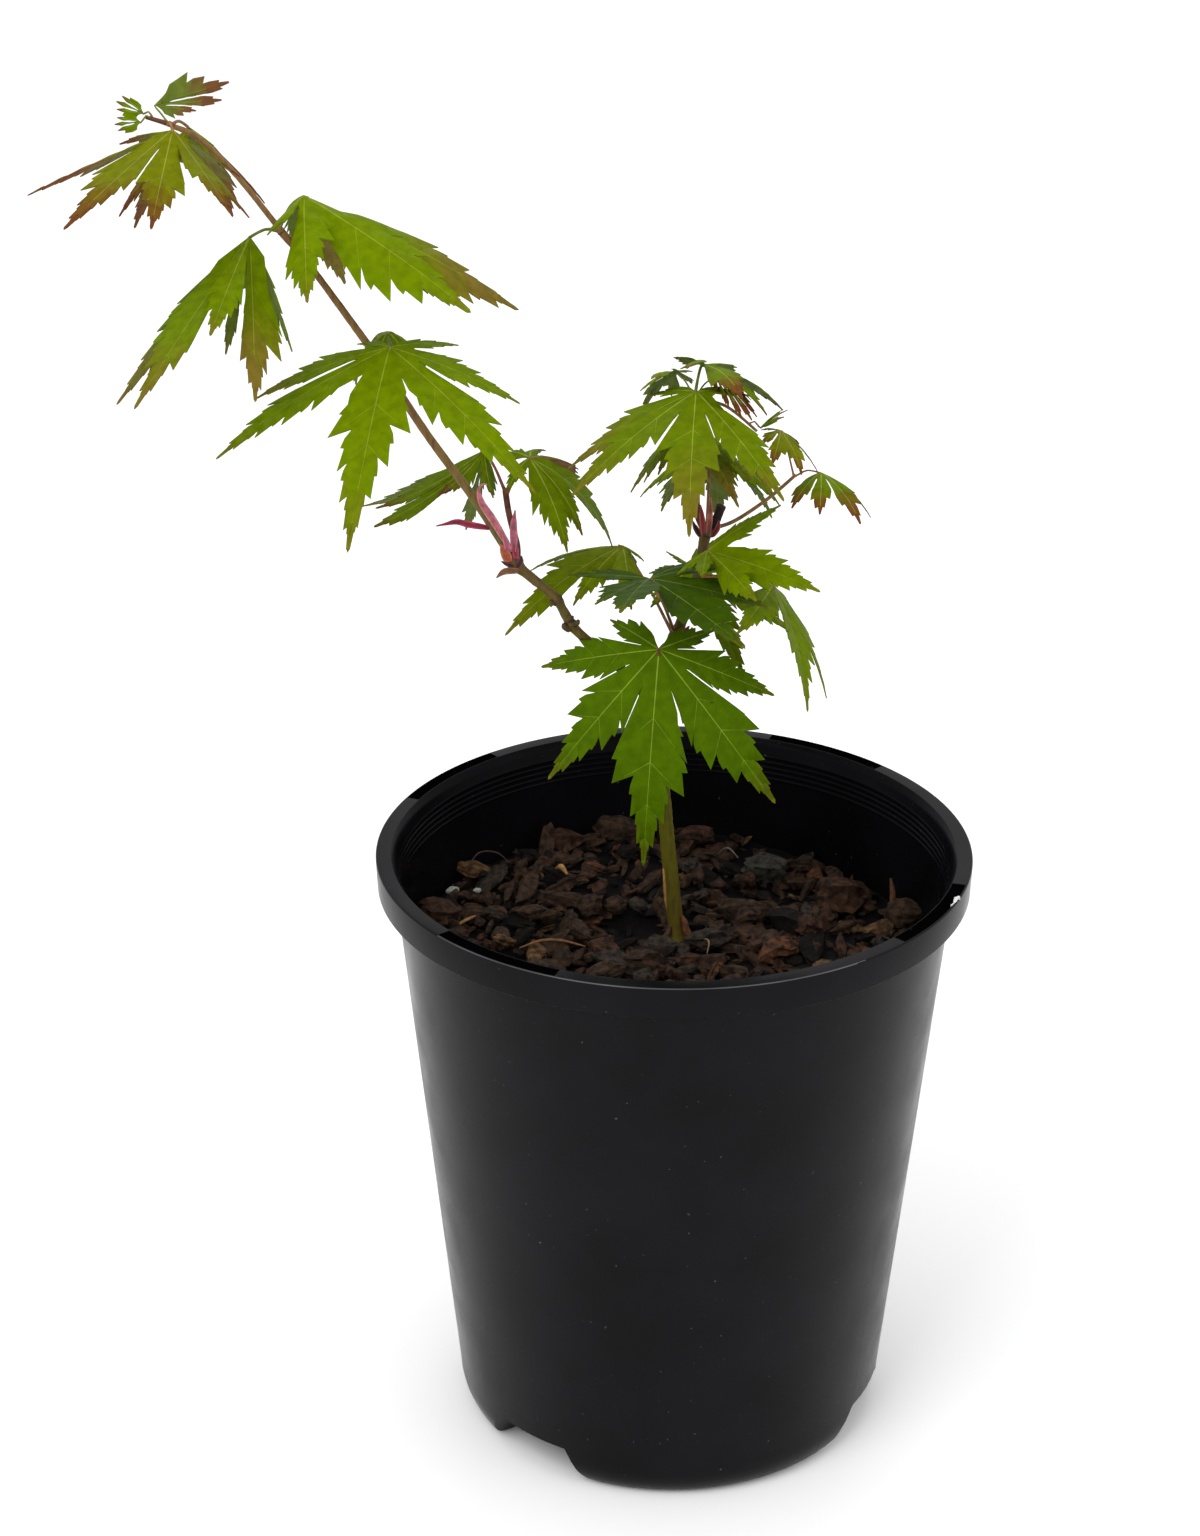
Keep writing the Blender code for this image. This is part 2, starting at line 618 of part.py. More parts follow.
def sinus_point(leaf, lobe):
    """The foot of the cut between a lobe and the next one, shared by both."""
    half = half_gap(leaf, lobe, 1)
    depth = SINUS * math.sqrt(lobe_length(leaf, lobe) * lobe_length(leaf, lobe + 1))
    places = []
    for one, way in ((lobe, 1), (lobe + 1, -1)):
        share = depth * math.cos(half) / lobe_length(leaf, one)
        places.append(on_lobe(leaf, one, share, way * depth * math.sin(half)))
    return (places[0] + places[1]) / 2


def edge_distance(leaf, lobe, way, share, width):
    """A lobe's half width on one side, kept inside its own sector between the neighbours."""
    length = lobe_length(leaf, lobe)
    half = half_gap(leaf, lobe, way)
    wide = width * length
    if half is None:
        return wide
    out, _ = bent(leaf, lobe, share)
    room = out * length * math.tan(half) - SINUS_GAP
    return max(min(wide, room), 0.5 * SINUS_GAP)


def blade(name, leaf, collection):
    """Seven lobes, each a strip of two columns from the hub to its tip, joined below the cuts."""
    small = leaf.size * MM < SMALL_LEAF
    whole = bmesh.new()
    for lobe in leaf.lobes:
        short = small or lobe in (0, len(LOBE_TURNS) - 1)
        rows = SHORT_LOBE_ROWS if short else LOBE_ROWS
        strip = bmesh.new()
        bmesh.ops.create_grid(strip, x_segments=2, y_segments=len(rows), size=0.5)
        for vertex in strip.verts:
            way = round(vertex.co.x * 2)
            row = round((vertex.co.y + 0.5) * len(rows)) - 1
            if row < 0:
                vertex.co = Vector(leaf.hub) * MM
                continue
            share, width = rows[row]
            if way == 0 or width == 0.0:
                vertex.co = on_lobe(leaf, lobe, share, 0.0)
            elif row == 0 and half_gap(leaf, lobe, way) is not None:
                vertex.co = sinus_point(leaf, lobe if way > 0 else lobe - 1)
            else:
                vertex.co = on_lobe(leaf, lobe, share, way * edge_distance(leaf, lobe, way, share, width))
        piece = bpy.data.meshes.new(name + "_lobe")
        strip.to_mesh(piece)
        strip.free()
        whole.from_mesh(piece)
        bpy.data.meshes.remove(piece)
    bmesh.ops.remove_doubles(whole, verts=whole.verts, dist=0.00002)
    obj = object_from_bmesh(name, whole, collection)
    skin = obj.modifiers.new("thickness", "SOLIDIFY")
    skin.thickness = SMALL_BLADE_THICKNESS if small else BLADE_THICKNESS
    skin.offset = 0.0
    apply_modifiers(obj)
    return obj


def outside(limb_tree, place):
    """How far a point is from the limb's skin, negative inside it."""
    nearest, normal, _, distance = limb_tree.find_nearest(place)
    return distance if (place - nearest).dot(normal) > 0 else -distance


def clear_of(limb_tree, path, radius):
    """The path from the first place where the stalk's cut end is clear of the limb."""
    step = 0.05 * MM
    start, towards = path[0], path[1]
    direction = (towards - start).normalized()
    aside = direction.orthogonal().normalized()
    across = direction.cross(aside)
    rim = [aside * radius, -aside * radius, across * radius, -across * radius]
    place = start.copy()
    while (place - start).length < (towards - start).length * 0.9:
        if min(outside(limb_tree, place + corner) for corner in (*rim, Vector())) >= CLEAR * 1.1:
            break
        place += direction * step
    return [place, *path[1:]]


def stalk_path(leaf):
    """Root, a point on the arch, hub, and a short run along the middle lobe's rib."""
    root = Vector(leaf.root) * MM
    hub = Vector(leaf.hub) * MM
    middle = (root + hub) / 2 + Vector((0, 0, leaf.arch * MM))
    grip = on_lobe(leaf, MIDDLE, min(STALK_GRIP / lobe_length(leaf, MIDDLE), 0.3), 0.0)
    return [root, middle, hub, grip]


def make_mass(name, mass, limbs, parts, helpers):
    """One mass of foliage: its shoots, stalks and blades, joined into one solid."""
    limb = limbs[mass["limb"]]
    mesh_data = bmesh.new()
    mesh_data.from_mesh(limb.data)
    limb_tree = BVHTree.FromBMesh(mesh_data)
    mesh_data.free()
    shoots = mass.get("shoots", [])
    for index, shoot in enumerate(shoots):
        stations = stations_of(shoot)
        if index == 0:
            path = clear_of(limb_tree, [place for place, _ in stations], stations[0][1])
            stations = list(zip(path, [radius for _, radius in stations]))
        tube(f"{name}_shoot_{index}", stations, helpers, 6)
    for index, leaf in enumerate(mass["leaves"]):
        blade(f"{name}_blade_{index}", leaf, helpers)
        path = stalk_path(leaf)
        radius = STALK_RADIUS if leaf.size * MM >= SMALL_LEAF else 0.6 * STALK_RADIUS
        if not shoots:
            path = clear_of(limb_tree, path, radius)
        tube(f"{name}_stalk_{index}", [(place, radius) for place in path], helpers, 4)
    first = bpy.data.objects[f"{name}_blade_0"]
    helpers.objects.unlink(first)
    parts.objects.link(first)
    first.name = name
    fuse(first, helpers)
    first.data.materials.append(material_for(name, "leaf"))
    return first


def main():
    clear_scene()
    parts = collection_named("potted_japanese_maple")
    cutters = collection_named("cutters")
    seats = collection_named("seats")
    helpers = collection_named("pieces_to_join")
    make_pot(parts, cutters)
    make_mix(parts, helpers)
    limbs = make_limbs(parts, seats)
    for name, mass in MASSES.items():
        make_mass(name, mass, limbs, parts, helpers)


main()
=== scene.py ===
# Looks for a young Japanese maple in a round black nursery pot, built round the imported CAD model.

import math
import random
from contextlib import contextmanager
from dataclasses import dataclass, field

import bmesh
import bpy
from mathutils import Euler, Matrix, Vector


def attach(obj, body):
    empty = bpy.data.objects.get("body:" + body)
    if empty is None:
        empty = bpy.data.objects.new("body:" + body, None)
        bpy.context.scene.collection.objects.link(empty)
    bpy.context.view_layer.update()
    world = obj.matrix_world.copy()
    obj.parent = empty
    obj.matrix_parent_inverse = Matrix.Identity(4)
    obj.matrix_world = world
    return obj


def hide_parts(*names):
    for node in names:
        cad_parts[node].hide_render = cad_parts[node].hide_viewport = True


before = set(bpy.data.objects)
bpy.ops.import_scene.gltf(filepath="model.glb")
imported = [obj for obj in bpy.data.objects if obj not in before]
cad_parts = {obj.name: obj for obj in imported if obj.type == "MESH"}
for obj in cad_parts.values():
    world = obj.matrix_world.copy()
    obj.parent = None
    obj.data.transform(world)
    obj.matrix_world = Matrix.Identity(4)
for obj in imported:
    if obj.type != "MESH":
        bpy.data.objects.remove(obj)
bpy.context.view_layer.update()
bpy.ops.object.select_all(action="DESELECT")

MM = 0.001

# Camera fitted to the pot's rim and foot
CAMERA_PLACE = (-17.35 * MM, -698.5 * MM, 490.1 * MM)
CAMERA_DOWN = 24.7  # degrees below level
CAMERA_LENS = 77.49

# Pot
POT_HEIGHT = 148.5 * MM
RIM_RADIUS = 70.0 * MM
LIP_WIDTH = 4.0 * MM
LIP_WALL = 1.3 * MM
LIP_EDGE = 0.4 * MM
SKIRT_DEPTH = 7.8 * MM
SKIRT_WALL = 1.4 * MM
SKIRT_DRAFT = 0.3 * MM
WALL = 1.2 * MM
SHOULDER_RADIUS = 65.65 * MM
HEEL_RADIUS = 52.5 * MM
HEEL_HEIGHT = 9.0 * MM
FOOT_RADIUS = 47.4 * MM
INNER_FLOOR = 12.0 * MM
POT_STEPS = 180
RECESS_TURNS = (-30.2, 54.3, 143.6, 233.4)
RECESS_ARC = 27
RECESS_DEPTH = 0.3 * MM
NOTCH_TURNS = (-130.5, -21, 104)
NOTCH_TOP = 10.0 * MM
NOTCH_INNER_RADIUS = 38.0 * MM
NOTCH_HALF_ARC_BOTTOM = 19
NOTCH_HALF_ARC_TOP = 11
LIP_INNER = RIM_RADIUS - LIP_WIDTH
LIP_UNDER = POT_HEIGHT - LIP_WALL
SKIRT_BOTTOM = POT_HEIGHT - SKIRT_DEPTH
# Radius of the small ring that closes a turned end on the axis
POLE = 0.05 * MM
# Fine ridges round the inner wall below the lip: offset and proud height in mm across one
RIDGES = 5
RIDGE_SPACING = 1.4 * MM
FIRST_RIDGE_DROP = 4.2 * MM
RIDGE_SECTION = ((-0.4, 0.0), (-0.12, 0.16), (0.12, 0.16), (0.4, 0.0))
# The pot's finishes, painted shade and a painted highlight among them, and where the lip's edge carries the
# painted highlight: turns, and slopes of its faces
MOULDED, SHADE_DIMMED, RECESS_SHADE, EDGE_HIGHLIGHT = range(4)
HIGHLIGHT_TURNS = (-140, -55)
HIGHLIGHT_SLOPES = (0.3, 0.93)
NEAR = 0.05 * MM
RECESSED_SLOPE = 0.9
FLAT_SLOPE = 0.95
# Burr on the lip: turn and half length in degrees, half width and place in mm
SCUFF_TURN = -24
SCUFF_HALF_TURN = 2.3
SCUFF_THIN = 0.18
SCUFF_SWELL = 0.44
SCUFF_INWARDS = 0.62

# Potting mix: a hollow beside the stem, and a heap towards the back left
MIX_TOP = 120.2 * MM
HOLLOW = (-9.5 * MM, 16.0 * MM)
HOLLOW_RADIUS = 10 * MM
HOLLOW_FLOOR = 8 * MM
HOLLOW_DEPTH = 3.2 * MM
HEAP_TURN = 125
HEAP_REACH = 60 * MM
HEAP_HEIGHT = 3.8 * MM
BED_GAP = 0.35 * MM
BED_RINGS = 40

# Limbs: points in mm with the radius there
TRUNK = (
    ((1.1, 9.0, 119.0), 3.0),
    ((1.0, 9.0, 121.4), 2.2),
    ((0.9, 9.0, 124.0), 1.98),
    ((0.2, 9.0, 130.0), 1.86),
    ((-2.0, 9.0, 153.2), 1.75),
    ((-3.2, 9.0, 166.7), 1.72),
    ((-3.9, 9.0, 179.0), 1.95),
    ((-4.1, 9.0, 182.3), 1.7),
)
LEFT_BOUGH = (
    ((-3.6, 9.0, 180.2), 1.5),
    ((-12.7, 8.0, 190.7), 1.15),
    ((-19.6, 7.0, 197.4), 1.1),
    ((-22.8, 6.7, 200.6), 1.15),
    ((-24.0, 6.5, 202.2), 1.45),
    ((-24.7, 6.4, 203.6), 1.2),
    ((-26.2, 6.2, 206.6), 1.05),
    ((-27.2, 6.1, 208.6), 1.25),
    ((-29.6, 5.9, 211.0), 1.05),
    ((-34.2, 5.5, 215.2), 1.15),
    ((-36.3, 5.0, 217.4), 1.6),
    ((-38.2, 5.0, 220.6), 1.3),
    ((-39.8, 5.0, 223.4), 1.05),
    ((-46.6, 4.0, 235.1), 1.0),
    ((-56.6, 3.0, 250.4), 0.95),
    ((-67.2, 2.0, 268.6), 0.9),
    ((-68.2, 2.0, 270.0), 1.05),
    ((-69.2, 2.0, 271.6), 0.85),
    ((-80.3, 1.0, 288.4), 0.75),
    ((-86.5, 1.0, 296.4), 0.9),
    ((-88.0, 1.0, 298.6), 0.65),
    ((-95.5, 0.0, 309.0), 0.6),
    ((-103.3, 0.0, 317.1), 0.6),
    ((-108.2, 0.0, 319.5), 0.6),
)
RIGHT_BOUGH = (
    ((-4.2, 9.0, 180.6), 1.5),
    ((-2.4, 9.5, 189.0), 1.35),
    ((-0.4, 9.9, 196.0), 1.4),
    ((0.0, 10.0, 197.4), 1.75),
    ((1.6, 11.0, 201.4), 1.3),
    ((5.2, 12.0, 212.0), 1.2),
    ((6.6, 12.8, 220.6), 1.3),
    ((7.0, 13.0, 222.2), 1.95),
    ((7.9, 13.0, 223.8), 1.5),
)

# Leaf blade: turn of each lobe from the middle one in degrees, and its length as a share of the leaf's size
LOBE_TURNS = (-124, -80, -40, 0, 40, 80, 124)
LOBE_LENGTHS = (0.36, 0.70, 0.92, 1.0, 0.92, 0.70, 0.36)
MIDDLE = 3
SINUS_GAP = 0.2 * MM
# Slope of the blade's halves up from the midrib, and the steepest they hang
FOLD = 0.16
STEEPEST = 0.85
# The fold's share at the hub, and the share of the lobe by which it grows to the whole
FOLD_AT_HUB = 0.4
FOLD_RISE = 0.5
SMALL_LEAF = 21 * MM
BLADE_THICKNESS = 0.26 * MM
STALK_RADIUS = 0.4 * MM
# Small leaves have thinner blades and stalks
SMALL_THICKNESS = 0.7
SMALL_STALK = 0.6
# Shoots' radii beside those of the CAD shoots
SLENDER_SHOOT = 0.65
STOUT_SHOOT = 0.9


@dataclass
class Leaf:
    """One palmate leaf, in mm and degrees. Its lobes are counted 0 to 6 from one base to the other.

    hub is where the lobes meet and root where the stalk starts. fall is how steeply the lobes set out, curl
    how far they bend down from there, and hang what the side lobes add. spread scales the lobes' turns,
    arch lifts the stalk's middle, and sag is how steeply the outer half of a side lobe drops away from its
    midrib. swing, reach and droop turn, lengthen and lower single lobes.
    """

    hub: tuple
    root: tuple
    heading: float
    pitch: float
    size: float
    roll: float = 0
    fall: float = 10
    curl: float = 20
    hang: float = 0
    spread: float = 1
    arch: float = 1.0
    sag: float = 0.7
    swing: dict = field(default_factory=dict)
    reach: dict = field(default_factory=dict)
    droop: dict = field(default_factory=dict)
    lobes: tuple = tuple(range(7))


# The masses' own shoots: points in mm with the radius there
SHOOTS = {
    "terminal_leaves": [
        (((-106.6, 0.0, 318.8), 0.6), ((-110.0, 0.0, 320.3), 0.6), ((-114.2, 0.0, 321.6), 0.5)),
    ],
    "side_shoot_leaves": [
        (((-36.3, 5.0, 217.4), 0.8), ((-36.3, 7.8, 221.0), 0.9), ((-38.0, 9.0, 228.0), 0.8),
         ((-38.9, 12.0, 232.8), 0.8)),
    ],
    "right_crown_leaves": [
        (((6.6, 12.8, 222.8), 0.9), ((4.8, 12.2, 228.0), 0.95), ((4.6, 11.6, 238.0), 0.9),
         ((4.3, 11.0, 246.0), 0.9), ((3.9, 10.0, 256.7), 0.85)),
        (((3.9, 10.0, 255.5), 0.6), ((11.0, 12.0, 253.0), 0.55), ((18.1, 12.0, 247.1), 0.5)),
    ],
    "right_shoot_leaves": [
        (((7.6, 13.0, 223.2), 0.7), ((13.2, 14.0, 224.6), 0.7), ((21.0, 15.3, 229.6), 0.65),
         ((27.4, 16.0, 235.2), 0.6)),
    ],
}
# The leaves of each mass
LEAVES = {
    "terminal_leaves": [
        Leaf((-108, -5, 320), (-109.5, 0, 320.1), 260, -5, 42, roll=5, fall=25, curl=5, hang=-5,
             spread=0.9, sag=0.5, swing={4: -15, 3: -10, 2: -10, 1: -5},
             reach={5: 1.15, 4: 1.0, 3: 0.8, 2: 0.75, 1: 0.85, 0: 1.15}, droop={5: 5, 1: 15, 0: 10}),
        Leaf((-106, 6, 318), (-109.0, 0, 320.0), 115, 5, 35, fall=40, curl=15, sag=0.5,
             swing={3: -20, 2: -10}, reach={5: 1.05, 3: 0.95, 2: 0.8}),
        Leaf((-112.3, 1, 324), (-109.6, 0, 320.4), 0, -18, 17, roll=75, fall=0, curl=5,
             spread=0.35, arch=0, reach={2: 0.92, 1: 0.75}, lobes=(1, 2, 3)),
        Leaf((-114.8, 1, 322.2), (-112.5, 0, 321.1), 180, -25, 6, roll=60, fall=0, curl=5, spread=0.4,
             lobes=(2, 3, 4)),
        Leaf((-115.2, -1, 320.8), (-113.0, 0, 321.2), 180, 5, 5.5, roll=60, fall=0, curl=5, spread=0.4,
             lobes=(2, 3, 4)),
    ],
    "upper_left_leaf": [
        Leaf((-93, -2, 296), (-86.5, 1, 296.4), 210, -20, 53, roll=-25, fall=50, curl=5, hang=-5, sag=0.5,
             swing={3: -15, 2: -5, 1: 5, 0: -30},
             reach={5: 0.7, 4: 0.95, 2: 0.75, 1: 1.15, 0: 1.4}, droop={5: 30, 4: 5, 3: 5, 1: 20, 0: 20}),
    ],
    "upper_right_leaf": [
        Leaf((-81, -2, 305), (-86.9, 1, 297.0), 20, 0, 56, fall=25, curl=10, sag=3.0, arch=1.5,
             swing={6: 15, 5: 25, 4: 10, 3: 15, 2: 25, 1: 35, 0: 35},
             reach={6: 0.75, 5: 0.8, 4: 0.9, 3: 0.95, 2: 0.9, 1: 0.75, 0: 0.9},
             droop={6: -10, 4: -5, 2: 10, 1: 25, 0: 15}),
    ],
    "middle_front_leaf": [
        Leaf((-63, -8, 273), (-68.2, 2, 270), 265, 20, 49, sag=0.2,
             swing={4: 20, 3: 5, 2: -10}, reach={6: 0.6, 5: 0.95, 3: 1.05, 2: 1.05, 1: 0.9}),
    ],
    "middle_back_leaf": [
        Leaf((-64.5, 10, 271), (-68.2, 2, 270), 100, -20, 27, roll=5, fall=40, curl=40,
             swing={5: -20, 1: 20}),
    ],
    "side_shoot_leaves": [
        Leaf((-44, 22, 239), (-38.9, 12, 232.5), 175, -10, 33, roll=-15, fall=45, curl=-25, hang=5,
             sag=0.5, swing={4: -15, 3: -30, 2: -5, 1: 20, 0: 10},
             reach={5: 0.9, 4: 1.15, 3: 0.9, 2: 1.15, 1: 0.8, 0: 1.25}, droop={6: 40, 5: 35}),
        Leaf((-33.5, 14, 240), (-38.7, 11.5, 232), 5, 5, 30, roll=-15, fall=25, curl=45, hang=-15,
             swing={4: -5, 2: -10, 5: -20}, reach={3: 1.1, 4: 0.8, 5: 1.15}),
    ],
    "centre_left_leaf": [
        Leaf((-12, 26, 214), (0, 10, 197.4), 195, 0, 32, curl=30, hang=-5,
             swing={3: -20}, reach={3: 1.15, 4: 0.9, 2: 0.75, 0: 0.6}, droop={5: 25, 6: 30}),
    ],
    "centre_flat_leaf": [
        Leaf((-6, 0, 216), (0.2, 10.1, 198), 300, -5, 39, roll=-9, fall=0, curl=10, hang=-5, sag=0.0,
             swing={2: 10, 0: 15, 5: -20}, reach={2: 0.85, 0: 1.1, 5: 0.9, 6: 1.35},
             droop={0: 10, 1: 7, 2: 8, 3: 5, 4: -14, 5: -12, 6: -10}),
    ],
    "front_leaf": [
        Leaf((-4, -8, 202), (-0.5, 9.8, 195.8), 260, 55, 49, roll=5, fall=15, hang=10, sag=0.2,
             swing={5: 5, 2: -5}, reach={6: 1.1, 4: 0.95, 3: 1.05, 2: 1.05, 1: 0.95}),
    ],
    "centre_right_leaf": [
        Leaf((7, 2, 222), (5.6, 12.2, 214.5), 340, 0, 27, roll=-25, fall=-5, curl=15, hang=-5,
             swing={3: 10, 2: -5, 4: 5, 5: -5, 6: -5}, reach={3: 1.05, 2: 0.8, 5: 0.8},
             droop={3: 5, 2: -10, 4: -10, 5: -20, 6: 5}, lobes=(2, 3, 4, 5, 6)),
    ],
    "low_right_leaf": [
        Leaf((22, 6, 212), (5.2, 12, 212), 300, 25, 32, roll=40, fall=5, curl=25, sag=-0.15,
             swing={4: 10}, reach={3: 1.05, 4: 0.95, 5: 0.8, 6: 0.8}, droop={5: -10}),
    ],
    "centre_back_leaf": [
        Leaf((4, 27, 208.5), (0.9, 10.5, 199.5), 295, 35, 33, roll=10, fall=-5, curl=5, hang=-5,
             swing={4: 15}, reach={4: 0.7, 5: 0.6, 6: 0.6}),
    ],
    "right_crown_leaves": [
        Leaf((4, 4, 259), (3.9, 10, 255.5), 265, 15, 42, roll=-5, fall=5, hang=5, sag=0.1,
             swing={5: -5, 4: 5, 2: 5, 1: 15}, reach={5: 1.15, 2: 0.95},
             droop={5: 5, 4: -5, 1: 35, 0: 5}),
        Leaf((-0.5, 12, 261), (3.9, 10, 255.5), 150, 25, 12, roll=-20, curl=40, hang=-20,
             swing={2: -5, 4: 5}, reach={2: 0.85, 3: 1.05, 4: 0.9}),
        Leaf((5.5, 14, 262), (3.9, 10, 256), 335, 0, 22, roll=20, curl=35, hang=-25,
             swing={2: 15}, reach={2: 1.05, 3: 0.9, 4: 1.1}),
        Leaf((8.5, 10, 260.5), (3.9, 10, 255.5), 325, 10, 14, roll=5, curl=25, spread=0.4,
             swing={3: 10, 2: 15, 4: 5}, reach={2: 1.05}),
        Leaf((19.0, 12.5, 247.8), (16.0, 12, 248.8), 0, -45, 7, fall=0, spread=0.6,
             lobes=(2, 3, 4)),
        Leaf((3, 16, 248.5), (4.3, 11, 247), 250, 0, 27, roll=-10, hang=30, arch=0.7,
             swing={4: -5, 3: 10}, reach={4: 0.9, 3: 0.7, 2: 1.15, 1: 1.05}),
    ],
    "right_back_leaf": [
        Leaf((8, 24, 238), (7.2, 13.2, 223), 80, 10, 30, fall=25, curl=40, hang=-10),
    ],
    "right_shoot_leaves": [
        Leaf((33, 14, 236.5), (27.0, 16, 234.8), 315, -5, 17, roll=15, fall=15, curl=35, hang=5, sag=0.2,
             swing={4: 5, 3: 5}, reach={5: 1.15, 4: 0.95, 3: 1.05}),
        Leaf((23.5, 14, 246.5), (27.0, 16, 234.8), 315, 15, 13, roll=20, curl=30, hang=-5,
             sag=0.2, swing={5: -5, 4: 10, 3: 10, 2: 5}, reach={5: 0.9, 4: 1.15, 2: 1.1}),
    ],
}


def linear(hex_colour):
    """An sRGB hex colour as the linear values that a shader takes."""
    channels = [int(hex_colour[i : i + 2], 16) / 255 for i in (1, 3, 5)]
    return (*[c / 12.92 if c <= 0.04045 else ((c + 0.055) / 1.055) ** 2.4 for c in channels], 1.0)


@dataclass
class Look:
    """A leaf's tints: blade, tips, the share of a lobe where the tips begin, and single lobes' own starts.

    width is how broad its lobes are beside the common rule.
    """

    blade: str = "green"
    tips: str = "tan"
    start: float = 1.1
    lobes: dict = field(default_factory=dict)
    stalk: str = "stalk_tan"
    width: float = 1.0


LOOKS = {
    "terminal_leaves": [
        Look("olive", "red_brown", 0.75, {5: 0.45, 4: 0.66, 3: 0.72, 6: 0.5}),
        Look("olive", "red_brown", 0.6, {5: 0.2, 4: 0.5}),
        Look("bright", "red_brown", 0.55, stalk="stalk_green", width=1.3),
        Look("green", "red_brown", 0.9, stalk="stalk_green", width=1.7),
        Look("green", "red_brown", 0.9, stalk="stalk_green", width=1.7),
    ],
    "upper_left_leaf": [
        Look("bright", "tan", 0.95, {3: 0.78, 4: 0.75, 1: 0.55, 0: 1.1}, "stalk_green", 0.92),
    ],
    "upper_right_leaf": [Look("bright", "tan", 1.0, {3: 0.56, 2: 0.5, 1: 0.35, 5: 0.95}, "stalk_green")],
    "middle_front_leaf": [Look("bright", "olive_brown", 0.95, {5: 0.75, 3: 0.88}, "stalk_green", 0.84)],
    "middle_back_leaf": [Look("green", "olive_brown", 0.95, stalk="stalk_green")],
    "side_shoot_leaves": [
        Look("green", "red_brown", 0.98, {3: 0.9, 1: 0.75}, "stalk_red"),
        Look("green", "red_brown", 0.98, {2: 0.2, 4: 0.95}, "stalk_red"),
    ],
    "centre_left_leaf": [Look("yellow_green", "olive_brown", 0.93)],
    "centre_flat_leaf": [Look("dark", "olive_brown", 0.97, stalk="stalk_tan", width=1.25)],
    "front_leaf": [Look("deep", "olive_brown", 1.0, {4: 0.95, 2: 0.95}, "stalk_red")],
    "centre_right_leaf": [Look("bright", "olive_brown", 0.98, stalk="stalk_tan", width=1.12)],
    "low_right_leaf": [Look("green", "olive_brown", 0.97, stalk="stalk_tan")],
    "centre_back_leaf": [Look("green", "olive_brown", 0.95, {1: 0.8}, "stalk_tan")],
    "right_crown_leaves": [
        Look("green", "olive_brown", 0.85, {5: 0.6, 4: 0.8, 3: 0.6, 1: 0.5}, "stalk_green"),
        Look("green", "tan", 0.8, stalk="stalk_green", width=1.6),
        Look("green", "red_brown", 0.92, {4: 0.65}, "stalk_green", 1.35),
        Look("green", "red_brown", 0.5, stalk="stalk_green"),
        Look("green", "tan", 0.7, stalk="stalk_tan"),
        Look("green", "tan", 0.8, {2: 0.6}, "stalk_green"),
    ],
    "right_back_leaf": [Look("green", "olive_brown", 0.93, stalk="stalk_tan")],
    "right_shoot_leaves": [
        Look("green", "red_brown", 0.68, {3: 0.58, 2: 0.62}, "stalk_tan", 1.5),
        Look("olive", "red_brown", 0.75, stalk="stalk_tan", width=1.6),
    ],
}

# Leaf tints: upper side, underside and vein
BLADE_TINTS = {
    "bright": ("#5f7400", "#62702a", "#7a8624"),
    "green": ("#596c02", "#64723a", "#7c8b30"),
    "deep": ("#455f02", "#566a34", "#74892a"),
    "dark": ("#344a03", "#4c5c34", "#6a7a30"),
    "olive": ("#656c04", "#6c7038", "#838434"),
    "yellow_green": ("#5f6e02", "#6c763a", "#7f8634"),
}
TIP_TINTS = {
    "tan": ("#6c5c20", "#766830"),
    "olive_brown": ("#68601a", "#706c36"),
    "red_brown": ("#633a1a", "#6f4a2c"),
}
STALK_TINTS = {
    "stalk_green": "#6d7420",
    "stalk_tan": "#8a6238",
    "stalk_red": "#7a4234",
}


def add(tree, kind, values=None, **settings):
    """Adds one shader node, sets it, and gives each named socket its value or its link."""
    node = tree.nodes.new("ShaderNode" + kind)
    for key, value in settings.items():
        setattr(node, key, value)
    for socket, value in (values or {}).items():
        if isinstance(value, bpy.types.NodeSocket):
            tree.links.new(value, node.inputs[socket])
        else:
            node.inputs[socket].default_value = value
    return node


def finish(name, roughness, specular):
    """A new material, with its tree, its shader and the object's own coordinates."""
    material = bpy.data.materials.new(name)
    material.use_nodes = True
    tree = material.node_tree
    shader = tree.nodes["Principled BSDF"]
    shader.inputs["Roughness"].default_value = roughness
    shader.inputs["Specular IOR Level"].default_value = specular
    return material, tree, shader, add(tree, "TexCoord").outputs["Object"]


def mottled(tree, coords, grain, low, high, detail=4.0):
    """Two close tints mixed by a noise whose grain is a real size in metres."""
    noise = add(tree, "TexNoise", {"Vector": coords, "Scale": 1 / grain, "Detail": detail})
    spread = add(tree, "MapRange", {"Value": noise.outputs["Fac"], "From Min": 0.35, "From Max": 0.65})
    return add(tree, "Mix", {"Factor": spread.outputs["Result"], "A": linear(low), "B": linear(high)},
               data_type="RGBA").outputs["Result"]


def bumped(tree, shader, height, depth):
    """The shader's normal from a height pattern, with its depth in metres."""
    bump = add(tree, "Bump", {"Height": height, "Distance": depth, "Strength": 1.0})
    tree.links.new(bump.outputs["Normal"], shader.inputs["Normal"])


def shade(hex_colour, factor):
    """A hex colour made lighter or darker."""
    channels = [min(255, round(int(hex_colour[i : i + 2], 16) * factor)) for i in (1, 3, 5)]
    return "#%02x%02x%02x" % tuple(channels)


def leaf_tissue(name, colour, roughness):
    """Living maple leaf: matt, faintly waxy, its colour mottled between the veins, with a fine cell grain."""
    material, tree, shader, coords = finish(name, roughness, 0.015)
    tint = mottled(tree, coords, 2.4 * MM, shade(colour, 0.94), shade(colour, 1.06))
    tree.links.new(tint, shader.inputs["Base Color"])
    # Cells are far finer than this; half a millimetre is what shows as a grain
    cells = add(tree, "TexVoronoi", {"Vector": coords, "Scale": 1 / (0.5 * MM)})
    bumped(tree, shader, cells.outputs["Distance"], 0.03 * MM)
    return material


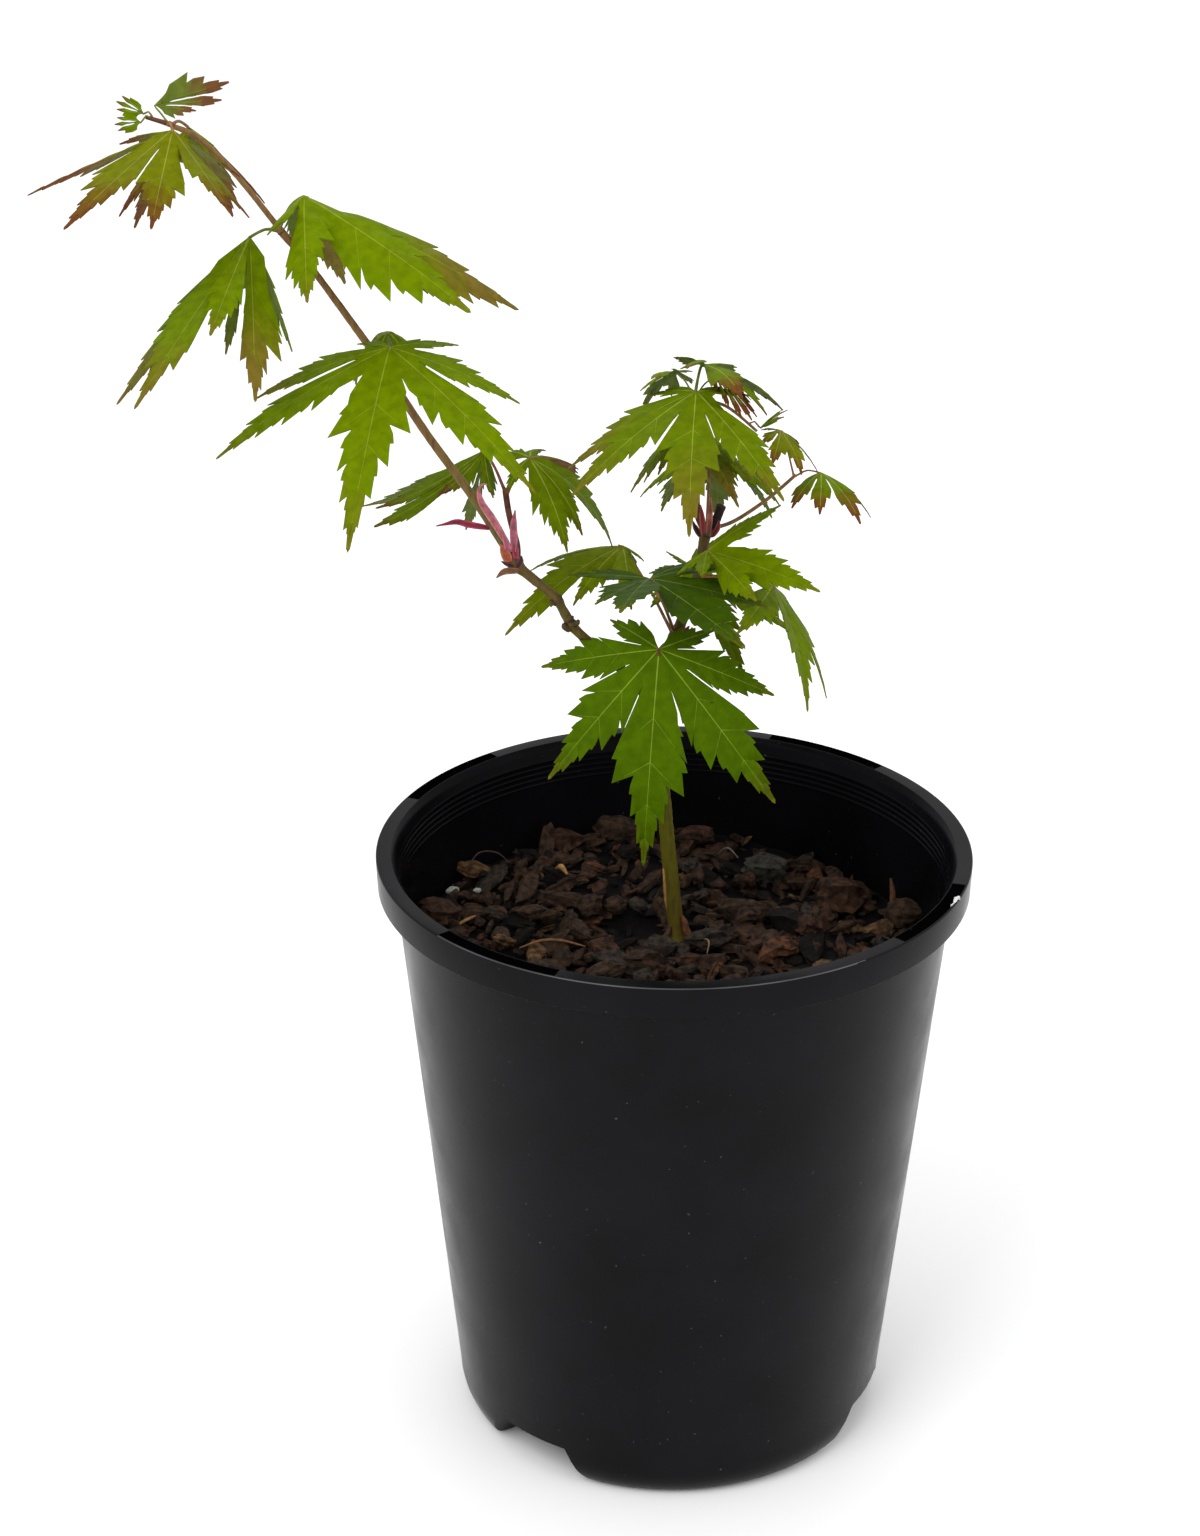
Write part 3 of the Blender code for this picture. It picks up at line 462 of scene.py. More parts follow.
def moulded_polypropylene(name="moulded_polypropylene", specular=0.085, low="#070709", high="#0d0d10"):
    """Injection moulded black polypropylene: dark and satin, with dust, scuffs and fine scratches."""
    material, tree, shader, coords = finish(name, 0.3, specular)
    tint = mottled(tree, coords, 22 * MM, low, high, 6.0)
    # Dust specks about half a millimetre across
    specks = add(tree, "TexNoise", {"Vector": coords, "Scale": 1 / (1.1 * MM), "Detail": 2.0})
    sparse = add(tree, "MapRange", {"Value": specks.outputs["Fac"], "From Min": 0.74, "From Max": 0.8})
    dusty = add(tree, "Mix", {"Factor": sparse.outputs["Result"], "A": tint, "B": linear("#4a4848")},
                data_type="RGBA")
    tree.links.new(dusty.outputs["Result"], shader.inputs["Base Color"])
    # Scratches run slantwise: a noise drawn out along one direction
    slant = add(tree, "Mapping", {"Vector": coords, "Rotation": (0.5, 0.9, 0.3), "Scale": (1, 0.04, 1)})
    scratch = add(tree, "TexNoise", {"Vector": slant.outputs["Vector"], "Scale": 1 / (0.9 * MM),
                                     "Detail": 2.0})
    cut = add(tree, "MapRange", {"Value": scratch.outputs["Fac"], "From Min": 0.72, "From Max": 0.78})
    wear = add(tree, "TexNoise", {"Vector": coords, "Scale": 1 / (14 * MM), "Detail": 5.0})
    satin = add(tree, "MapRange", {"Value": wear.outputs["Fac"], "From Min": 0.3, "From Max": 0.7,
                                   "To Min": 0.2, "To Max": 0.34})
    tree.links.new(satin.outputs["Result"], shader.inputs["Roughness"])
    bumped(tree, shader, cut.outputs["Result"], 0.02 * MM)
    return material


def chalky(name, low_colour, high_colour):
    """Perlite, or plastic scraped white: rough and pale, with a fine broken grain."""
    material, tree, shader, coords = finish(name, 0.8, 0.2)
    tint = mottled(tree, coords, 0.5 * MM, low_colour, high_colour, 3.0)
    tree.links.new(tint, shader.inputs["Base Color"])
    grain = add(tree, "TexNoise", {"Vector": coords, "Scale": 1 / (0.4 * MM), "Detail": 4.0})
    bumped(tree, shader, grain.outputs["Fac"], 0.1 * MM)
    return material


def shredded_bark(name, colour):
    """Composted pine bark: damp, dull, ribbed along its grain."""
    material, tree, shader, coords = finish(name, 0.75, 0.12)
    tint = mottled(tree, coords, 1.6 * MM, shade(colour, 0.5), shade(colour, 1.3), 8.0)
    tree.links.new(tint, shader.inputs["Base Color"])
    grain = add(tree, "TexNoise", {"Vector": coords, "Scale": 1 / (0.9 * MM), "Detail": 8.0,
                                   "Roughness": 0.75})
    bumped(tree, shader, grain.outputs["Fac"], 0.7 * MM)
    return material


def young_bark(name, low_colour, high_colour, low_height, high_height):
    """Smooth young bark with lenticels, its colour changing up the limb as the wood gets younger."""
    material, tree, shader, coords = finish(name, 0.55, 0.2)
    height = add(tree, "SeparateXYZ", {"Vector": coords}).outputs["Z"]
    up = add(tree, "MapRange", {"Value": height, "From Min": low_height, "From Max": high_height})
    base = add(tree, "Mix", {"Factor": up.outputs["Result"], "A": linear(low_colour),
                             "B": linear(high_colour)}, data_type="RGBA")
    streaks = add(tree, "Mapping", {"Vector": coords, "Scale": (1, 1, 0.15)})
    noise = add(tree, "TexNoise", {"Vector": streaks.outputs["Vector"], "Scale": 1 / (0.9 * MM),
                                   "Detail": 6.0})
    dark = add(tree, "MapRange", {"Value": noise.outputs["Fac"], "From Min": 0.45, "From Max": 0.7,
                                  "To Min": 0.0, "To Max": 0.55})
    tint = add(tree, "Mix", {"Factor": dark.outputs["Result"], "A": base.outputs["Result"],
                             "B": linear("#3f2d1a")}, data_type="RGBA")
    tree.links.new(tint.outputs["Result"], shader.inputs["Base Color"])
    bumped(tree, shader, noise.outputs["Fac"], 0.15 * MM)
    return material


def plain_tissue(name, colour, roughness=0.5):
    """Stalk or bud scale: smooth living tissue with a faint mottle."""
    material, tree, shader, coords = finish(name, roughness, 0.2)
    tint = mottled(tree, coords, 1.5 * MM, shade(colour, 0.82), shade(colour, 1.12))
    tree.links.new(tint, shader.inputs["Base Color"])
    shader.inputs["Subsurface Weight"].default_value = 0.05
    shader.inputs["Subsurface Scale"].default_value = 0.5 * MM
    return material


def only(obj):
    """Selects this object alone and makes it active."""
    bpy.ops.object.select_all(action="DESELECT")
    obj.select_set(True)
    bpy.context.view_layer.objects.active = obj


def settle(obj):
    """Puts the object's place into its mesh."""
    only(obj)
    bpy.ops.object.transform_apply(location=True, rotation=True, scale=True)


@contextmanager
def editing(obj):
    """This object alone in edit mode, with all of it selected."""
    only(obj)
    bpy.ops.object.mode_set(mode="EDIT")
    bpy.ops.mesh.select_all(action="SELECT")
    yield
    bpy.ops.object.mode_set(mode="OBJECT")


def apply_all(obj):
    """Applies every modifier, in order."""
    only(obj)
    for modifier in list(obj.modifiers):
        bpy.ops.object.modifier_apply(modifier=modifier.name)


def smooth(obj, degrees):
    """Shades smooth whatever bends by less than the given angle."""
    only(obj)
    bpy.ops.object.shade_smooth_by_angle(angle=math.radians(degrees))
    return obj


def kept(obj, slot, *nodes):
    """A finished piece rides on the plant's one body and stands for CAD nodes; slot is not used."""
    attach(obj, "root")
    if nodes:
        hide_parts(*nodes)


def object_from(name, mesh_data, materials):
    """A new object whose mesh is what was drawn."""
    mesh = bpy.data.meshes.new(name)
    mesh_data.to_mesh(mesh)
    mesh_data.free()
    for material in materials:
        mesh.materials.append(material)
    obj = bpy.data.objects.new(name, mesh)
    bpy.context.scene.collection.objects.link(obj)
    return obj


def joined(name, objects):
    """Several objects as one piece."""
    bpy.ops.object.select_all(action="DESELECT")
    for obj in objects:
        obj.select_set(True)
    bpy.context.view_layer.objects.active = objects[0]
    if len(objects) > 1:
        bpy.ops.object.join()
    objects[0].name = name
    objects[0].data.name = name
    return objects[0]


def turned(name, profile, steps):
    """A ring drawn at the profile's first station and extruded from station to station."""
    first_radius, first_height = profile[0]
    bpy.ops.mesh.primitive_circle_add(vertices=steps, radius=first_radius, location=(0, 0, first_height))
    obj = bpy.context.active_object
    obj.name = name
    settle(obj)
    with editing(obj):
        bpy.ops.mesh.edge_face_add()
        bpy.ops.mesh.delete(type="ONLY_FACE")
        bpy.ops.mesh.select_all(action="SELECT")
        for (radius, height), (next_radius, next_height) in zip(profile, profile[1:]):
            bpy.ops.mesh.extrude_edges_move(TRANSFORM_OT_translate={"value": (0, 0, next_height - height)})
            scale = next_radius / radius
            bpy.ops.transform.resize(value=(scale, scale, 1), center_override=(0, 0, next_height))
        bpy.ops.mesh.select_all(action="SELECT")
        bpy.ops.mesh.fill_holes(sides=0)
        bpy.ops.mesh.normals_make_consistent(inside=False)
    return obj


def wall_radius(height):
    """Outer radius of the pot's tapering wall at a height."""
    rise = (height - HEEL_HEIGHT) / (POT_HEIGHT - SKIRT_DEPTH - HEEL_HEIGHT)
    return HEEL_RADIUS + (SHOULDER_RADIUS - HEEL_RADIUS) * rise


def pot_profile():
    """Inner floor, ribbed inner wall, flat lip, turned-down skirt, outer wall, heel and foot."""
    stations = [(POLE, INNER_FLOOR), (wall_radius(INNER_FLOOR) - WALL, INNER_FLOOR)]
    for ridge in reversed(range(RIDGES)):
        middle = POT_HEIGHT - FIRST_RIDGE_DROP - ridge * RIDGE_SPACING
        for offset, proud in RIDGE_SECTION:
            height = middle + offset * MM
            stations.append((wall_radius(height) - WALL - proud * MM, height))
    stations += [
        (wall_radius(LIP_UNDER) - WALL, LIP_UNDER - 0.5 * MM),
        (LIP_INNER - 0.1 * MM, POT_HEIGHT - 0.5 * MM),
        (LIP_INNER + 0.4 * MM, POT_HEIGHT),
    ]
    for turn in (90, 67.5, 45, 22.5, 0):
        stations.append((RIM_RADIUS - LIP_EDGE + LIP_EDGE * math.cos(math.radians(turn)),
                         POT_HEIGHT - LIP_EDGE + LIP_EDGE * math.sin(math.radians(turn))))
    stations += [
        (RIM_RADIUS - SKIRT_DRAFT, SKIRT_BOTTOM + 0.3 * MM),
        (RIM_RADIUS - SKIRT_DRAFT - 0.3 * MM, SKIRT_BOTTOM),
        (RIM_RADIUS - SKIRT_DRAFT - SKIRT_WALL, SKIRT_BOTTOM),
        (RIM_RADIUS - SKIRT_WALL, LIP_UNDER),
        (wall_radius(LIP_UNDER), LIP_UNDER),
        (wall_radius(0.5 * POT_HEIGHT), 0.5 * POT_HEIGHT),
        (HEEL_RADIUS + 0.1 * MM, HEEL_HEIGHT + 1 * MM),
    ]
    for turn in range(90, -1, -15):
        out = FOOT_RADIUS + (HEEL_RADIUS - FOOT_RADIUS) * math.sin(math.radians(turn))
        stations.append((out, HEEL_HEIGHT * (1 - math.cos(math.radians(turn)))))
    return [*stations, (POLE, 0.0)]


def ring_cutter(turn, half_arc_low, half_arc_high, radii, heights):
    """A grid drawn out to a block and wrapped round the pot's axis, whose two ends may slant."""
    bpy.ops.mesh.primitive_grid_add(x_subdivisions=14, y_subdivisions=1, size=1)
    cutter = bpy.context.active_object
    with editing(cutter):
        bpy.ops.mesh.extrude_region_move(TRANSFORM_OT_translate={"value": (0, 0, 1)})
    for vertex in cutter.data.vertices:
        across, out, up = vertex.co.x + 0.5, vertex.co.y + 0.5, vertex.co.z
        half_arc = half_arc_low + (half_arc_high - half_arc_low) * up
        angle = math.radians(turn + half_arc * (2 * across - 1))
        radius = radii[0] + (radii[1] - radii[0]) * out
        height = heights[0] + (heights[1] - heights[0]) * up
        vertex.co = (radius * math.cos(angle), radius * math.sin(angle), height)
    with editing(cutter):
        bpy.ops.mesh.normals_make_consistent(inside=False)
    return cutter


def pot_finish(face):
    """Which of the pot's finishes a face has, painted shade and the painted highlight among them."""
    x, y, height = face.center
    slope = face.normal.z
    outwards = face.normal.x * x + face.normal.y * y
    # Recess floors: painted shade
    if slope > RECESSED_SLOPE and abs(height - POT_HEIGHT + RECESS_DEPTH) < NEAR:
        return RECESS_SHADE
    # The lip's flat top, and below the inner wall, take the dimmed finish: painted shade
    if slope > FLAT_SLOPE and height > POT_HEIGHT - NEAR:
        return SHADE_DIMMED
    # The lip's rounded front edge: painted highlight
    on_edge = height > POT_HEIGHT - LIP_EDGE and outwards > 0 and HIGHLIGHT_SLOPES[0] < slope < HIGHLIGHT_SLOPES[1]
    if on_edge and HIGHLIGHT_TURNS[0] < math.degrees(math.atan2(y, x)) < HIGHLIGHT_TURNS[1]:
        return EDGE_HIGHLIGHT
    if math.hypot(x, y) < LIP_INNER + 0.3 * MM and outwards < 0 and height > INNER_FLOOR:
        return SHADE_DIMMED
    return MOULDED


def make_pot():
    """The turned pot, with its drain notches and the lip's recesses cut, and its finishes, painted shade and
    highlight among them, dealt out.
    """
    pot = turned("nursery_pot", pot_profile(), POT_STEPS)
    cutters = [ring_cutter(turn, NOTCH_HALF_ARC_BOTTOM, NOTCH_HALF_ARC_TOP, (NOTCH_INNER_RADIUS, RIM_RADIUS),
                           (-1 * MM, NOTCH_TOP)) for turn in NOTCH_TURNS]
    cutters += [ring_cutter(turn, RECESS_ARC / 2, RECESS_ARC / 2,
                            (LIP_INNER + 0.5 * MM, RIM_RADIUS - LIP_EDGE),
                            (POT_HEIGHT - RECESS_DEPTH, POT_HEIGHT + 1 * MM)) for turn in RECESS_TURNS]
    for cutter in cutters:
        cut = pot.modifiers.new("cut", "BOOLEAN")
        cut.operation = "DIFFERENCE"
        cut.solver = "EXACT"
        cut.object = cutter
    apply_all(pot)
    for cutter in cutters:
        bpy.data.objects.remove(cutter, do_unlink=True)
    pot.data.materials.clear()
    pot.data.materials.append(moulded_polypropylene())
    # Inside and on the lip's top the reflection is turned down so that they read dark: painted shade
    pot.data.materials.append(moulded_polypropylene("shade_dimmed_polypropylene", 0.035))
    # The recesses' floors are made black with no reflection: painted shade in the recesses
    pot.data.materials.append(moulded_polypropylene("recess_shade_polypropylene", 0.0, "#020202", "#030303"))
    # The lip's front edge is made paler: a painted highlight where the rounded edge catches light
    pot.data.materials.append(moulded_polypropylene("edge_highlight_polypropylene", 0.085, "#38383a", "#545456"))
    for face in pot.data.polygons:
        face.material_index = pot_finish(face)
    kept(smooth(pot, 28), "pot_plastic", "pot")


def make_scuff():
    """A scraped burr on the lip's outer edge, right of the front, thick at one end."""
    mesh_data = bmesh.new()
    bmesh.ops.create_grid(mesh_data, x_segments=30, y_segments=8, size=0.5)
    for vertex in mesh_data.verts:
        along, across = 2 * vertex.co.x, 2 * vertex.co.y
        thick = min(max((along + 0.3) / 0.8, 0.0), 1.0)
        ragged = 1 + 0.2 * math.sin(9 * along + 2) + 0.12 * math.sin(23 * along)
        half = (SCUFF_THIN + SCUFF_SWELL * thick) * ragged * math.sqrt(max(1 - along**4, 0.01))
        inwards = (SCUFF_INWARDS + half * across + 0.1 * math.sin(5 * along)) * MM
        turn = math.radians(SCUFF_TURN + SCUFF_HALF_TURN * along)
        drop = max(LIP_EDGE - inwards, 0.0)
        height = POT_HEIGHT - LIP_EDGE + math.sqrt(max(LIP_EDGE**2 - drop**2, 0.0)) + 0.04 * MM
        radius = RIM_RADIUS - inwards
        vertex.co = (radius * math.cos(turn), radius * math.sin(turn), height)
    bmesh.ops.recalc_face_normals(mesh_data, faces=mesh_data.faces)
    if sum(face.normal.z for face in mesh_data.faces) < 0:
        bmesh.ops.reverse_faces(mesh_data, faces=mesh_data.faces)
    patch = object_from("lip_scuff", mesh_data, [chalky("scraped_polypropylene", "#a6a4a4", "#e4e2e2")])
    skin = patch.modifiers.new("thickness", "SOLIDIFY")
    skin.thickness = RECESS_DEPTH
    apply_all(patch)
    kept(patch, "pot_plastic")


def bed_height(x, y):
    """Top of the settled mix: heaped at the back left, with a hollow beside the stem."""
    hollow = math.hypot(x - HOLLOW[0], y - HOLLOW[1]) / HOLLOW_RADIUS
    back_left = math.radians(HEAP_TURN)
    towards = (x * math.cos(back_left) + y * math.sin(back_left)) / HEAP_REACH
    heaped = min(max((towards - 0.15) / 0.7, 0.0), 1.0)
    heaped *= heaped * (3 - 2 * heaped)
    return MIX_TOP - 1.2 * MM - HOLLOW_DEPTH * math.exp(-hollow * hollow) + HEAP_HEIGHT * heaped


def pushed_by_clouds(obj, grain, octaves, strength, level, direction="NORMAL"):
    """A cloud pattern pressed into a mesh, with its grain and strength as real sizes."""
    clouds = bpy.data.textures.new(obj.name + "_clouds", "CLOUDS")
    clouds.noise_scale = grain
    clouds.noise_depth = octaves
    push = obj.modifiers.new("clouds", "DISPLACE")
    push.texture = clouds
    push.texture_coords = "LOCAL"
    push.direction = direction
    push.strength = strength
    push.mid_level = level
    apply_all(obj)


def make_bed():
    """The fine mix under the chips, down to the pot's floor, near black: partly the mix's own colour, partly
    painted shade between the chips.
    """
    edge = wall_radius(MIX_TOP) - WALL - BED_GAP
    low_height = INNER_FLOOR + 0.3 * MM
    profile = [(edge * (i + 0.02) / BED_RINGS, MIX_TOP) for i in range(BED_RINGS)]
    profile += [(edge, MIX_TOP), (wall_radius(low_height) - WALL - BED_GAP, low_height), (POLE, low_height)]
    bed = turned("potting_mix_bed", profile, 120)
    for vertex in bed.data.vertices:
        if vertex.co.z > MIX_TOP - 1 * MM:
            vertex.co.z = bed_height(vertex.co.x, vertex.co.y)
    pushed_by_clouds(bed, 2.5 * MM, 3, 2.0 * MM, 0.7, "Z")
    bed.data.materials.clear()
    # Near black: the mix's own dark colour and painted shade in the gaps between the chips
    bed.data.materials.append(shredded_bark("fine_mix_and_gap_shade", "#080504"))
    kept(smooth(bed, 60), "bark_mix", "potting_mix")


def chip_form(seed, cuts, rough):
    """One split flake: a cube broken up by a random subdivision, drawn to a splinter and a little bent."""
    draw = random.Random(seed)
    pinches = draw.uniform(0.1, 0.75), draw.uniform(0.1, 0.75)
    bend, twist = draw.uniform(-0.2, 0.2), draw.uniform(-0.5, 0.5)
    bpy.ops.mesh.primitive_cube_add(size=1)
    form = bpy.context.active_object
    with editing(form):
        bpy.ops.mesh.subdivide(number_cuts=cuts, smoothness=0.25, fractal=rough, fractal_along_normal=0.2,
                               seed=seed)
        bpy.ops.mesh.vertices_smooth(factor=0.2, repeat=1)
    mesh = form.data.copy()
    bpy.data.objects.remove(form, do_unlink=True)
    for vertex in mesh.vertices:
        along = 2 * vertex.co.x
        pinch = 1 - pinches[along > 0] * min(abs(along), 1.2) ** 1.5
        across, up = vertex.co.y * pinch, vertex.co.z * pinch
        turn = twist * along
        vertex.co.y = across * math.cos(turn) - up * math.sin(turn) + bend * along * along
        vertex.co.z = across * math.sin(turn) + up * math.cos(turn)
    return mesh


# Pieces that stand out on the mix: place, length, turn, width and height as shares, and heap
LARGE_PIECES = (
    ((42.0, 24.3), 10.0, 15, 0.85, 0.70, "red_brown_chips"),
    ((24.0, -2.8), 9.5, 35, 0.50, 0.45, "orange_chips"),
    ((9.0, 3.2), 10.5, 5, 0.45, 0.40, "grey_brown_chips"),
    ((-4.0, -1.2), 8.0, 170, 0.65, 0.55, "grey_brown_chips"),
    ((-13.8, -7.9), 9.5, 165, 0.50, 0.40, "grey_brown_chips"),
    ((-23.1, 7.9), 11.5, 115, 0.32, 0.30, "brown_chips"),
    ((-55.6, 11.0), 9.5, 30, 0.70, 0.45, "red_brown_chips"),
    ((-48.8, 34.0), 9.0, 165, 0.38, 0.30, "tan_chips"),
    ((-34.7, 25.0), 14.0, 75, 0.28, 0.24, "brown_chips"),
    ((-19.8, 20.0), 6.5, 60, 0.80, 0.60, "brown_chips"),
    ((-12.9, 22.5), 6.0, 20, 0.60, 0.55, "brown_chips"),
    ((-12.0, 55.0), 11.0, 165, 0.45, 0.45, "brown_chips"),
    ((-26.0, 50.0), 8.0, 15, 0.50, 0.50, "red_brown_chips"),
    ((6.0, 54.0), 9.0, 20, 0.45, 0.40, "red_brown_chips"),
    ((-6.5, -8.0), 9.5, 10, 0.60, 0.50, "brown_chips"),
    ((-16.5, -1.5), 8.0, 150, 0.50, 0.45, "red_brown_chips"),
    ((-15.0, -13.0), 8.5, 25, 0.55, 0.45, "brown_chips"),
    ((56.7, 15.8), 8.0, 160, 0.80, 0.60, "brown_chips"),
    ((33.0, 10.0), 7.0, 100, 0.70, 0.60, "red_brown_chips"),
    ((18.0, 16.0), 6.5, 30, 0.60, 0.50, "brown_chips"),
    ((-33.0, 14.0), 8.5, 10, 0.45, 0.35, "brown_chips"),
    ((-30.0, -12.0), 9.0, 150, 0.40, 0.35, "brown_chips"),
)
LARGE_PIECE_LIFT = 1.9 * MM
# A chip's middle lies this share of its height above the bed
CHIP_SEAT = 0.35
# Each heap's tint and its share of the chips
CHIPS = {
    "dark_chips": ("#120d09", 0.18),
    "brown_chips": ("#33251a", 0.46),
    "red_brown_chips": ("#37251a", 0.22),
    "grey_brown_chips": ("#2f2822", 0.08),
    "orange_chips": ("#4a2f1f", 0.03),
    "tan_chips": ("#503b26", 0.03),
}
# Layers from the largest chips to the crumbs: how many, shortest and longest in mm, and lift in mm
CHIP_LAYERS = ((230, 5.4, 10.0, 0.3), (560, 2.8, 6.0, 0.0), (560, 1.2, 2.8, 0.0))
GOLDEN_TURN = math.radians(137.508)
STEM_ROOM = 2.6 * MM
WALL_ROOM = 0.6 * MM
# Perlite crumbs: place and length in mm
PERLITE = ((-53.2, 22.8, 3.2), (-47.3, 23.2, 1.8))
# Thin fibres and straw: path in mm, radius, and colour
FIBRES = (
    (((-36.5, -1.6, 122.4), (-31.5, 0.2, 123.4), (-26.5, 0.3, 123.4), (-20.8, -0.8, 122.4)), 0.36, "#6e4a2a"),
    (((-28.0, 31.0, 127.4), (-26.8, 28.5, 129.0), (-25.4, 25.7, 128.4)), 0.75, "#8a6638"),
    (((-53.2, 8.2, 122.0), (-51.0, 7.6, 124.2), (-48.6, 9.6, 124.6), (-46.8, 13.6, 123.4)), 0.4, "#7e623c"),
    (((-50.5, 30.5, 126.4), (-47.5, 36.0, 129.0), (-43.0, 38.5, 128.0), (-40.0, 37.5, 125.8)), 0.2,
     "#3a2c22"),
    (((12.0, 44.4, 124.6), (14.5, 41.9, 127.6), (17.0, 38.4, 126.6)), 0.28, "#59544e"),
    (((53.6, 19.4, 121.0), (54.0, 20.4, 125.5), (53.4, 21.4, 129.4)), 0.8, "#573823"),
    (((6.5, 3.0, 122.6), (8.5, -1.0, 124.0), (8.0, -5.5, 123.0)), 0.25, "#6e5a40"),
)


def kept_inside(piece):
    """Draws in whatever would stand out through the pot's wall."""
    for vertex in piece.data.vertices:
        room = wall_radius(vertex.co.z) - WALL - 0.15 * MM
        out = math.hypot(vertex.co.x, vertex.co.y)
        if out > room:
            vertex.co.x *= room / out
            vertex.co.y *= room / out
    return piece


def strew(heap, form, place, size, tilt):
    """Copies one form into a heap at its place, size and tilt."""
    before = len(heap.verts)
    heap.from_mesh(form)
    matrix = Matrix.LocRotScale(place, tilt.to_quaternion(), size)
    bmesh.ops.transform(heap, matrix=matrix, verts=heap.verts[before:])


def strew_large_pieces(heaps, draw):
    """The pieces that stand out on top, each at its own place."""
    forms = [chip_form(seed, 4, 3.0) for seed in range(21, 27)]
    for index, ((x, y), length, turn, width, height, name) in enumerate(LARGE_PIECES):
        size = Vector((length, length * width, length * height)) * MM
        tilt = Euler((draw.gauss(0, 0.15), draw.gauss(0, 0.2), math.radians(turn)))
        place = Vector((x * MM, y * MM, 0.0))
        place.z = bed_height(place.x, place.y) + CHIP_SEAT * size.z + LARGE_PIECE_LIFT
        strew(heaps[name], forms[index % len(forms)], place, size, tilt)


def strew_layer(heaps, forms, layer, draw):
    """One layer of chips on a sunflower's spiral, clear of the stem, the wall and the hollow."""
    count, short, long, lift = layer
    edge = wall_radius(MIX_TOP) - WALL
    stem = Vector((*TRUNK[0][0][:2], 0.0)) * MM
    shares = [share for _, share in CHIPS.values()]
    for index in range(count):
        out = (edge - 1.5 * MM) * math.sqrt((index + 0.5) / count)
        turn = index * GOLDEN_TURN + draw.uniform(-0.3, 0.3) + lift
        length = draw.uniform(short, long) * MM * (1.3 if draw.random() < 0.08 else 1.0)
        place = Vector((out * math.cos(turn), out * math.sin(turn), 0.0))
        size = Vector((length, length * draw.uniform(0.25, 0.6), length * draw.uniform(0.18, 0.42)))
        tilt = Euler((draw.gauss(0, 0.4), draw.gauss(0, 0.35), draw.uniform(0, math.tau)))
        name = draw.choices(list(CHIPS), shares)[0]
        form = draw.choice(forms)
        if (place - stem).length < STEM_ROOM + 0.5 * length:
            continue
        in_hollow = math.hypot(place.x - HOLLOW[0], place.y - HOLLOW[1]) < HOLLOW_FLOOR
        if in_hollow and (length > 4 * MM or draw.random() < 0.6):
            continue
        if out + 0.5 * length > edge - WALL_ROOM:
            place *= (edge - WALL_ROOM - 0.5 * length) / out
        place.z = bed_height(place.x, place.y) + CHIP_SEAT * size.z + (lift + draw.uniform(-0.6, 0.9)) * MM
        strew(heaps[name], form, place, size, tilt)


def make_chips():
    """Bark chips over the mix from a few modelled flakes, each colour joined in one piece."""
    draw = random.Random(11)
    forms = [chip_form(seed, 2, 3.2) for seed in range(3, 13)]
    heaps = {name: bmesh.new() for name in CHIPS}
    strew_large_pieces(heaps, draw)
    for layer in CHIP_LAYERS:
        strew_layer(heaps, forms, layer, draw)
    for name, heap in heaps.items():
        piece = object_from(name, heap, [shredded_bark(name, CHIPS[name][0])])
        kept(smooth(kept_inside(piece), 24), "bark_mix")


def make_grit():
    """A grey stone, two crumbs of perlite, and the fibres and straw in the mix."""
    draw = random.Random(4)
    stone = bmesh.new()
    place = Vector((23.8 * MM, 41.0 * MM, MIX_TOP + 2.2 * MM))
    strew(stone, chip_form(31, 4, 2.2), place, Vector((9.2, 6.4, 4.6)) * MM, Euler((0.1, -0.1, -0.15)))
    piece = object_from("grey_stone", stone, [shredded_bark("pumice_stone", "#35322b")])
    kept(smooth(piece, 40), "bark_mix")
    crumbs = bmesh.new()
    for x, y, length in PERLITE:
        place = Vector((x * MM, y * MM, bed_height(x * MM, y * MM) + 2.6 * MM))
        size = Vector((length, 0.7 * length, 0.45 * length)) * MM
        strew(crumbs, chip_form(33, 3, 1.0), place, size, Euler((0.0, 0.0, draw.uniform(0, 3))))
    # Perlite is white; these crumbs are tinted a dim grey-green: painted shade
    piece = object_from("perlite_crumbs", crumbs, [chalky("perlite", "#74776e", "#98998f")])
    kept(smooth(piece, 40), "bark_mix")
    fibres = []
    for index, (path, radius, colour) in enumerate(FIBRES):
        ends = [0.5 * radius, *[radius] * (len(path) - 2), 0.4 * radius]
        material = plain_tissue(f"dry_fibre_{index}", colour, 0.7)
        fibres.append(rod(f"fibre_{index}", tuple(zip(path, ends)), 8, material, 0.6 * MM))
    kept(smooth(kept_inside(joined("mix_fibres", fibres)), 60), "bark_mix")


def between(stations, step):
    """Stations along a smooth path through the given ones, about a step apart."""
    places = [Vector(place) * MM for place, _ in stations]
    radii = [radius * MM for _, radius in stations]
    smoothed = []
    for index in range(len(places) - 1):
        before = places[max(index - 1, 0)]
        start, end = places[index], places[index + 1]
        after = places[min(index + 2, len(places) - 1)]
        count = max(1, round((end - start).length / step))
        for part in range(count):
            t = part / count
            ease = t * t * (3 - 2 * t)
            square = (2 * before - 5 * start + 4 * end - after) * t * t
            cube = (3 * start - before - 3 * end + after) * t * t * t
            place = 0.5 * ((2 * start) + (end - before) * t + square + cube)
            smoothed.append((place, radii[index] + (radii[index + 1] - radii[index]) * ease))
    smoothed.append((places[-1], radii[-1]))
    return smoothed


